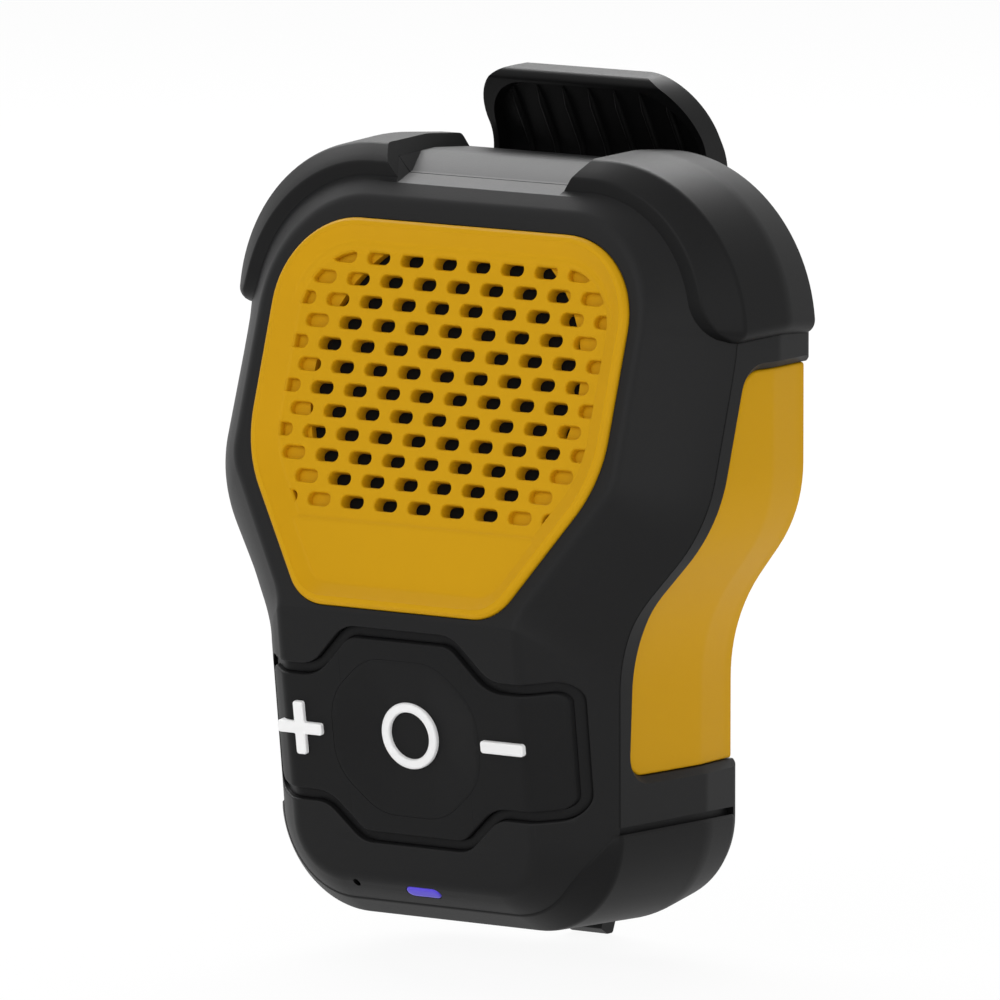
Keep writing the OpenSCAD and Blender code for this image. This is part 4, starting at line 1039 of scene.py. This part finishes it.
PIVOT_Y, PIVOT_Z = BACK_Y + 4.8, BODY_TOP - 15.6
CLIP_TOP, CLIP_FRONT, CLIP_HALF = BODY_TOP + 10.6, BACK_Y + 6.6, 17.3
CLIP_SIDE = [(CLIP_REAR - 6.3, CLIP_TOP, 1.2), (BACK_Y + 0.2, CLIP_TOP - 0.8, 1), (CLIP_FRONT, BODY_TOP + 0.9, 6),
             (CLIP_FRONT, 62, 30), (BACK_Y + 2.3, 15, 8), (BACK_Y + 2.9, 0.9, 0.3), (BACK_Y + 4.5, 0, 0.3),
             (BACK_Y + 5.7, 0, 0.3), (BACK_Y + 5.5, 14, 8), (CLIP_REAR, 62, 30), (CLIP_REAR, BODY_TOP - 0.5, 7)]
RECESS_Y, RECESS_Z = -2.1, -0.25
LUG_IN, LUG_OUT, LUG_R, PIN_BORE = 6.5, 9.5, 3.4, 1.55
CLIP_OUTLINE = [(2.5, -1, 1), (6, 11.4, 12), (10, KEY_Z, 40), (CLIP_HALF, 84, 40), (CLIP_HALF - 1, CLIP_TOP, 8.5)]


def side_prism(dy=0.0, dz=0.0):
    """Side view of the clip drawn across x."""
    k = len(CLIP_SIDE)
    corners = [(CLIP_SIDE[i - 1], CLIP_SIDE[i], CLIP_SIDE[(i + 1) % k]) for i in range(k)]
    pts = [q for abc in corners for q in arc_at(*abc, np.linspace(0, 1, 13))]
    ring = lambda x: np.array([(x, q[0] + dy, q[1] + dz) for q in pts])
    return cutter_of([ring(-20), ring(20)])


def outline_prism(t, y0, y1, low=0.0):
    """Front view of the clip, drawn in by t, from depth y0 to y1."""
    uv = loop_of(inset(CLIP_OUTLINE, t, low), CLIP_OUTLINE, gap=60)
    return cutter_of([np.column_stack([uv[:, 0], np.full(len(uv), y), uv[:, 1]]) for y in (y0, y1)])


def bevelled(obj, width):
    """Rounds the sharp edges of an object."""
    mod = obj.modifiers.new("bevel", "BEVEL")
    mod.width, mod.segments, mod.limit_method = width * MM, 3, "ANGLE"
    mod.angle_limit = math.radians(SHARP)
    mod.use_clamp_overlap = True
    return applied(obj)


arm = boolean(side_prism(), outline_prism(0, BACK_Y - 6, CLIP_REAR + 3), "INTERSECT")
arm.name = "clip_arm_skin"
recess = side_prism(RECESS_Y, RECESS_Z)
boolean(recess, outline_prism(0.85, BACK_Y - 12, CLIP_REAR + 3, 1.45), "INTERSECT")
boolean(recess, box((-20, BACK_Y - 12, 24), (20, CLIP_REAR + 5, 120)), "INTERSECT")
boolean(arm, recess)
bevelled(arm, 0.35)


def rib_tubes():
    """Low round ribs down the inside of the thumb tab."""
    k = len(CLIP_SIDE) - 1
    bend = arc_at(CLIP_SIDE[k - 1], CLIP_SIDE[k], CLIP_SIDE[0], np.linspace(0, 1, 9))
    path = [np.array([CLIP_REAR, BODY_TOP - 4.0])] + bend
    end = np.array(CLIP_SIDE[0][:2])
    path += [bend[-1] + (end - bend[-1]) * f for f in (0.25, 0.5, 0.72)]
    path = np.array(path) + [RECESS_Y, RECESS_Z]
    along = np.gradient(path, axis=0)
    along /= np.linalg.norm(along, axis=1, keepdims=True)
    size = np.full(len(path), 0.5)
    size[0], size[-1] = 0.1, 0.12
    tubes = []
    for x in range(-12, 13, 4):
        loops = []
        for p, t, r in zip(path, along, size):
            nrm = np.array([-t[1], t[0]])
            loops.append(np.array([(x + 0.85 * r * math.cos(q), p[0] + nrm[0] * r * 1.3 * math.sin(q),
                                    p[1] + nrm[1] * r * 1.3 * math.sin(q)) for q in angles(16)]))
        tubes.append(sweep(loops))
    return consistent(solid("cutter", gathered(tubes)))


boolean(arm, rib_tubes(), "UNION")
for sx in (-1, 1):
    x0, x1 = sorted((sx * LUG_IN, sx * LUG_OUT))
    boolean(arm, rod_x(x0, x1, PIVOT_Y, PIVOT_Z, LUG_R), "UNION")
    boolean(arm, box((x0 + 0.01, PIVOT_Y, PIVOT_Z - 3.38), (x1 - 0.01, CLIP_REAR - 1, PIVOT_Z + 3.38)), "UNION")
boolean(arm, rod_x(-11, 11, PIVOT_Y, PIVOT_Z, PIN_BORE))
boolean(arm, box((-3, BACK_Y - 1, 12), (3, BACK_Y + 3.4, 19)))
finish(arm, ARM, "clip", ["clip_arm"])

# Clip spring: one leg lies on the bracket, the other on the arm, and the coil between them winds up

WIRE_R, COIL_R, COIL_HALF, COIL_TURNS = 0.35, 2.3, 5.5, 5.5
LEG_UP, BRACKET_FACE, ARM_FACE = 7.0, -2.6, 4.1


def spring_wire():
    """Round wire along a leg, the coil and the other leg."""
    start = [(-COIL_HALF, BRACKET_FACE + WIRE_R, z) for z in np.linspace(LEG_UP, 0.6, 7)]
    turn = np.linspace(0, COIL_TURNS, int(COIL_TURNS * 28) + 1)
    coil = [(-COIL_HALF + 2 * COIL_HALF * t / COIL_TURNS, -COIL_R * math.cos(2 * math.pi * t),
             -COIL_R * math.sin(2 * math.pi * t)) for t in turn]
    lean = ARM_FACE - WIRE_R - COIL_R
    end = [(COIL_HALF, COIL_R + lean * ((z - 0.6) / (LEG_UP - 0.6)) ** 1.5, z) for z in np.linspace(0.6, LEG_UP, 9)]
    path = np.array(start + coil + end)
    ahead = np.gradient(path, axis=0)
    ahead /= np.linalg.norm(ahead, axis=1, keepdims=True)
    b = angles(10)
    loops = []
    for p, d in zip(path, ahead):
        side = np.cross(d, (1.0, 0.0, 0.0))
        side /= np.linalg.norm(side)
        up = np.cross(d, side)
        loops.append(p + (0, PIVOT_Y, PIVOT_Z) + WIRE_R * (np.outer(np.cos(b), side) + np.outer(np.sin(b), up)))
    return solid("clip_spring_wire", sweep(loops))


spring = spring_wire()
shaded(spring, STEEL, 50)
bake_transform(spring)
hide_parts("clip_spring")

# Camera, light and stage

scene = bpy.context.scene
scene.view_settings.view_transform = "Standard"
AZ, EL, DIST = math.radians(36.7), math.radians(7.4), 2.125
target = Vector((7.28, 10.0 + SHIFT[1], 58.9)) * MM
away = Vector((math.sin(AZ) * math.cos(EL), -math.cos(AZ) * math.cos(EL), math.sin(EL)))
cam_data = bpy.data.cameras.new("camera")
cam_data.sensor_width = 36
cam_data.lens = 612
cam_data.clip_end = 20
camera = bpy.data.objects.new("camera", cam_data)
camera.location = target + away * DIST
camera.rotation_euler = (-away).to_track_quat("-Z", "Y").to_euler()
scene.collection.objects.link(camera)
scene.camera = camera

floor_mesh = bpy.data.meshes.new("floor")
FLOOR_HALF, FLOOR_Z = 4, -0.0002
corners = [(x * FLOOR_HALF, y * FLOOR_HALF, FLOOR_Z) for x, y in ((-1, -1), (1, -1), (1, 1), (-1, 1))]
floor_mesh.from_pydata(corners, [], [(0, 1, 2, 3)])
floor = bpy.data.objects.new("floor", floor_mesh)
scene.collection.objects.link(floor)


def seen_by(nodes, links):
    """Socket that is 1 for the rays that see the white background."""
    path = nodes.new("ShaderNodeLightPath")
    first = nodes.new("ShaderNodeMath")
    first.operation = "MAXIMUM"
    links.new(path.outputs["Is Camera Ray"], first.inputs[0])
    links.new(path.outputs["Is Glossy Ray"], first.inputs[1])
    second = nodes.new("ShaderNodeMath")
    second.operation = "MAXIMUM"
    links.new(first.outputs[0], second.inputs[0])
    links.new(path.outputs["Is Transmission Ray"], second.inputs[1])
    return second.outputs[0]


floor_mat = bpy.data.materials.new("floor")
floor_mat.use_nodes = True
nodes, links = floor_mat.node_tree.nodes, floor_mat.node_tree.links
base = nodes["Principled BSDF"]
base.inputs["Base Color"].default_value = (0.8, 0.8, 0.8, 1)
base.inputs["Roughness"].default_value = 0.9
base.inputs["Specular IOR Level"].default_value = 0.0
white = nodes.new("ShaderNodeEmission")
white.inputs["Color"].default_value = (1, 1, 1, 1)
mix = nodes.new("ShaderNodeMixShader")
scaled = nodes.new("ShaderNodeMath")
scaled.operation = "MULTIPLY"
scaled.inputs[1].default_value = 0.93
links.new(seen_by(nodes, links), scaled.inputs[0])
links.new(scaled.outputs[0], mix.inputs[0])
links.new(base.outputs[0], mix.inputs[1])
links.new(white.outputs[0], mix.inputs[2])
links.new(mix.outputs[0], nodes["Material Output"].inputs["Surface"])
floor_mesh.materials.append(floor_mat)

world = bpy.data.worlds.new("studio")
scene.world = world
world.use_nodes = True
nodes, links = world.node_tree.nodes, world.node_tree.links
nodes.clear()
dim = nodes.new("ShaderNodeBackground")
dim.inputs["Color"].default_value = (1, 1, 1, 1)
dim.inputs["Strength"].default_value = 0.4
bright = nodes.new("ShaderNodeBackground")
bright.inputs["Color"].default_value = (1, 1, 1, 1)
mix = nodes.new("ShaderNodeMixShader")
out = nodes.new("ShaderNodeOutputWorld")
links.new(seen_by(nodes, links), mix.inputs[0])
links.new(dim.outputs[0], mix.inputs[1])
links.new(bright.outputs[0], mix.inputs[2])
links.new(mix.outputs[0], out.inputs["Surface"])


AIM = Vector((0, 0, 0.055))


def lamp(name, place, size, power):
    """Area light turned to the object."""
    data = bpy.data.lights.new(name, "AREA")
    data.shape, data.size, data.size_y, data.energy = "RECTANGLE", size[0], size[1], power
    obj = bpy.data.objects.new(name, data)
    obj.location = place
    obj.rotation_euler = (Vector(place) - AIM).to_track_quat("Z", "Y").to_euler()
    scene.collection.objects.link(obj)


lamp("key_light", (-0.15, -1.0, 0.6), (0.6, 0.6), 3.3)
lamp("fill_light", (0.95, -0.65, 0.3), (1.0, 0.8), 4.2)
lamp("top_light", (-0.57, 0.52, 0.82), (1.1, 0.45), 15.0)
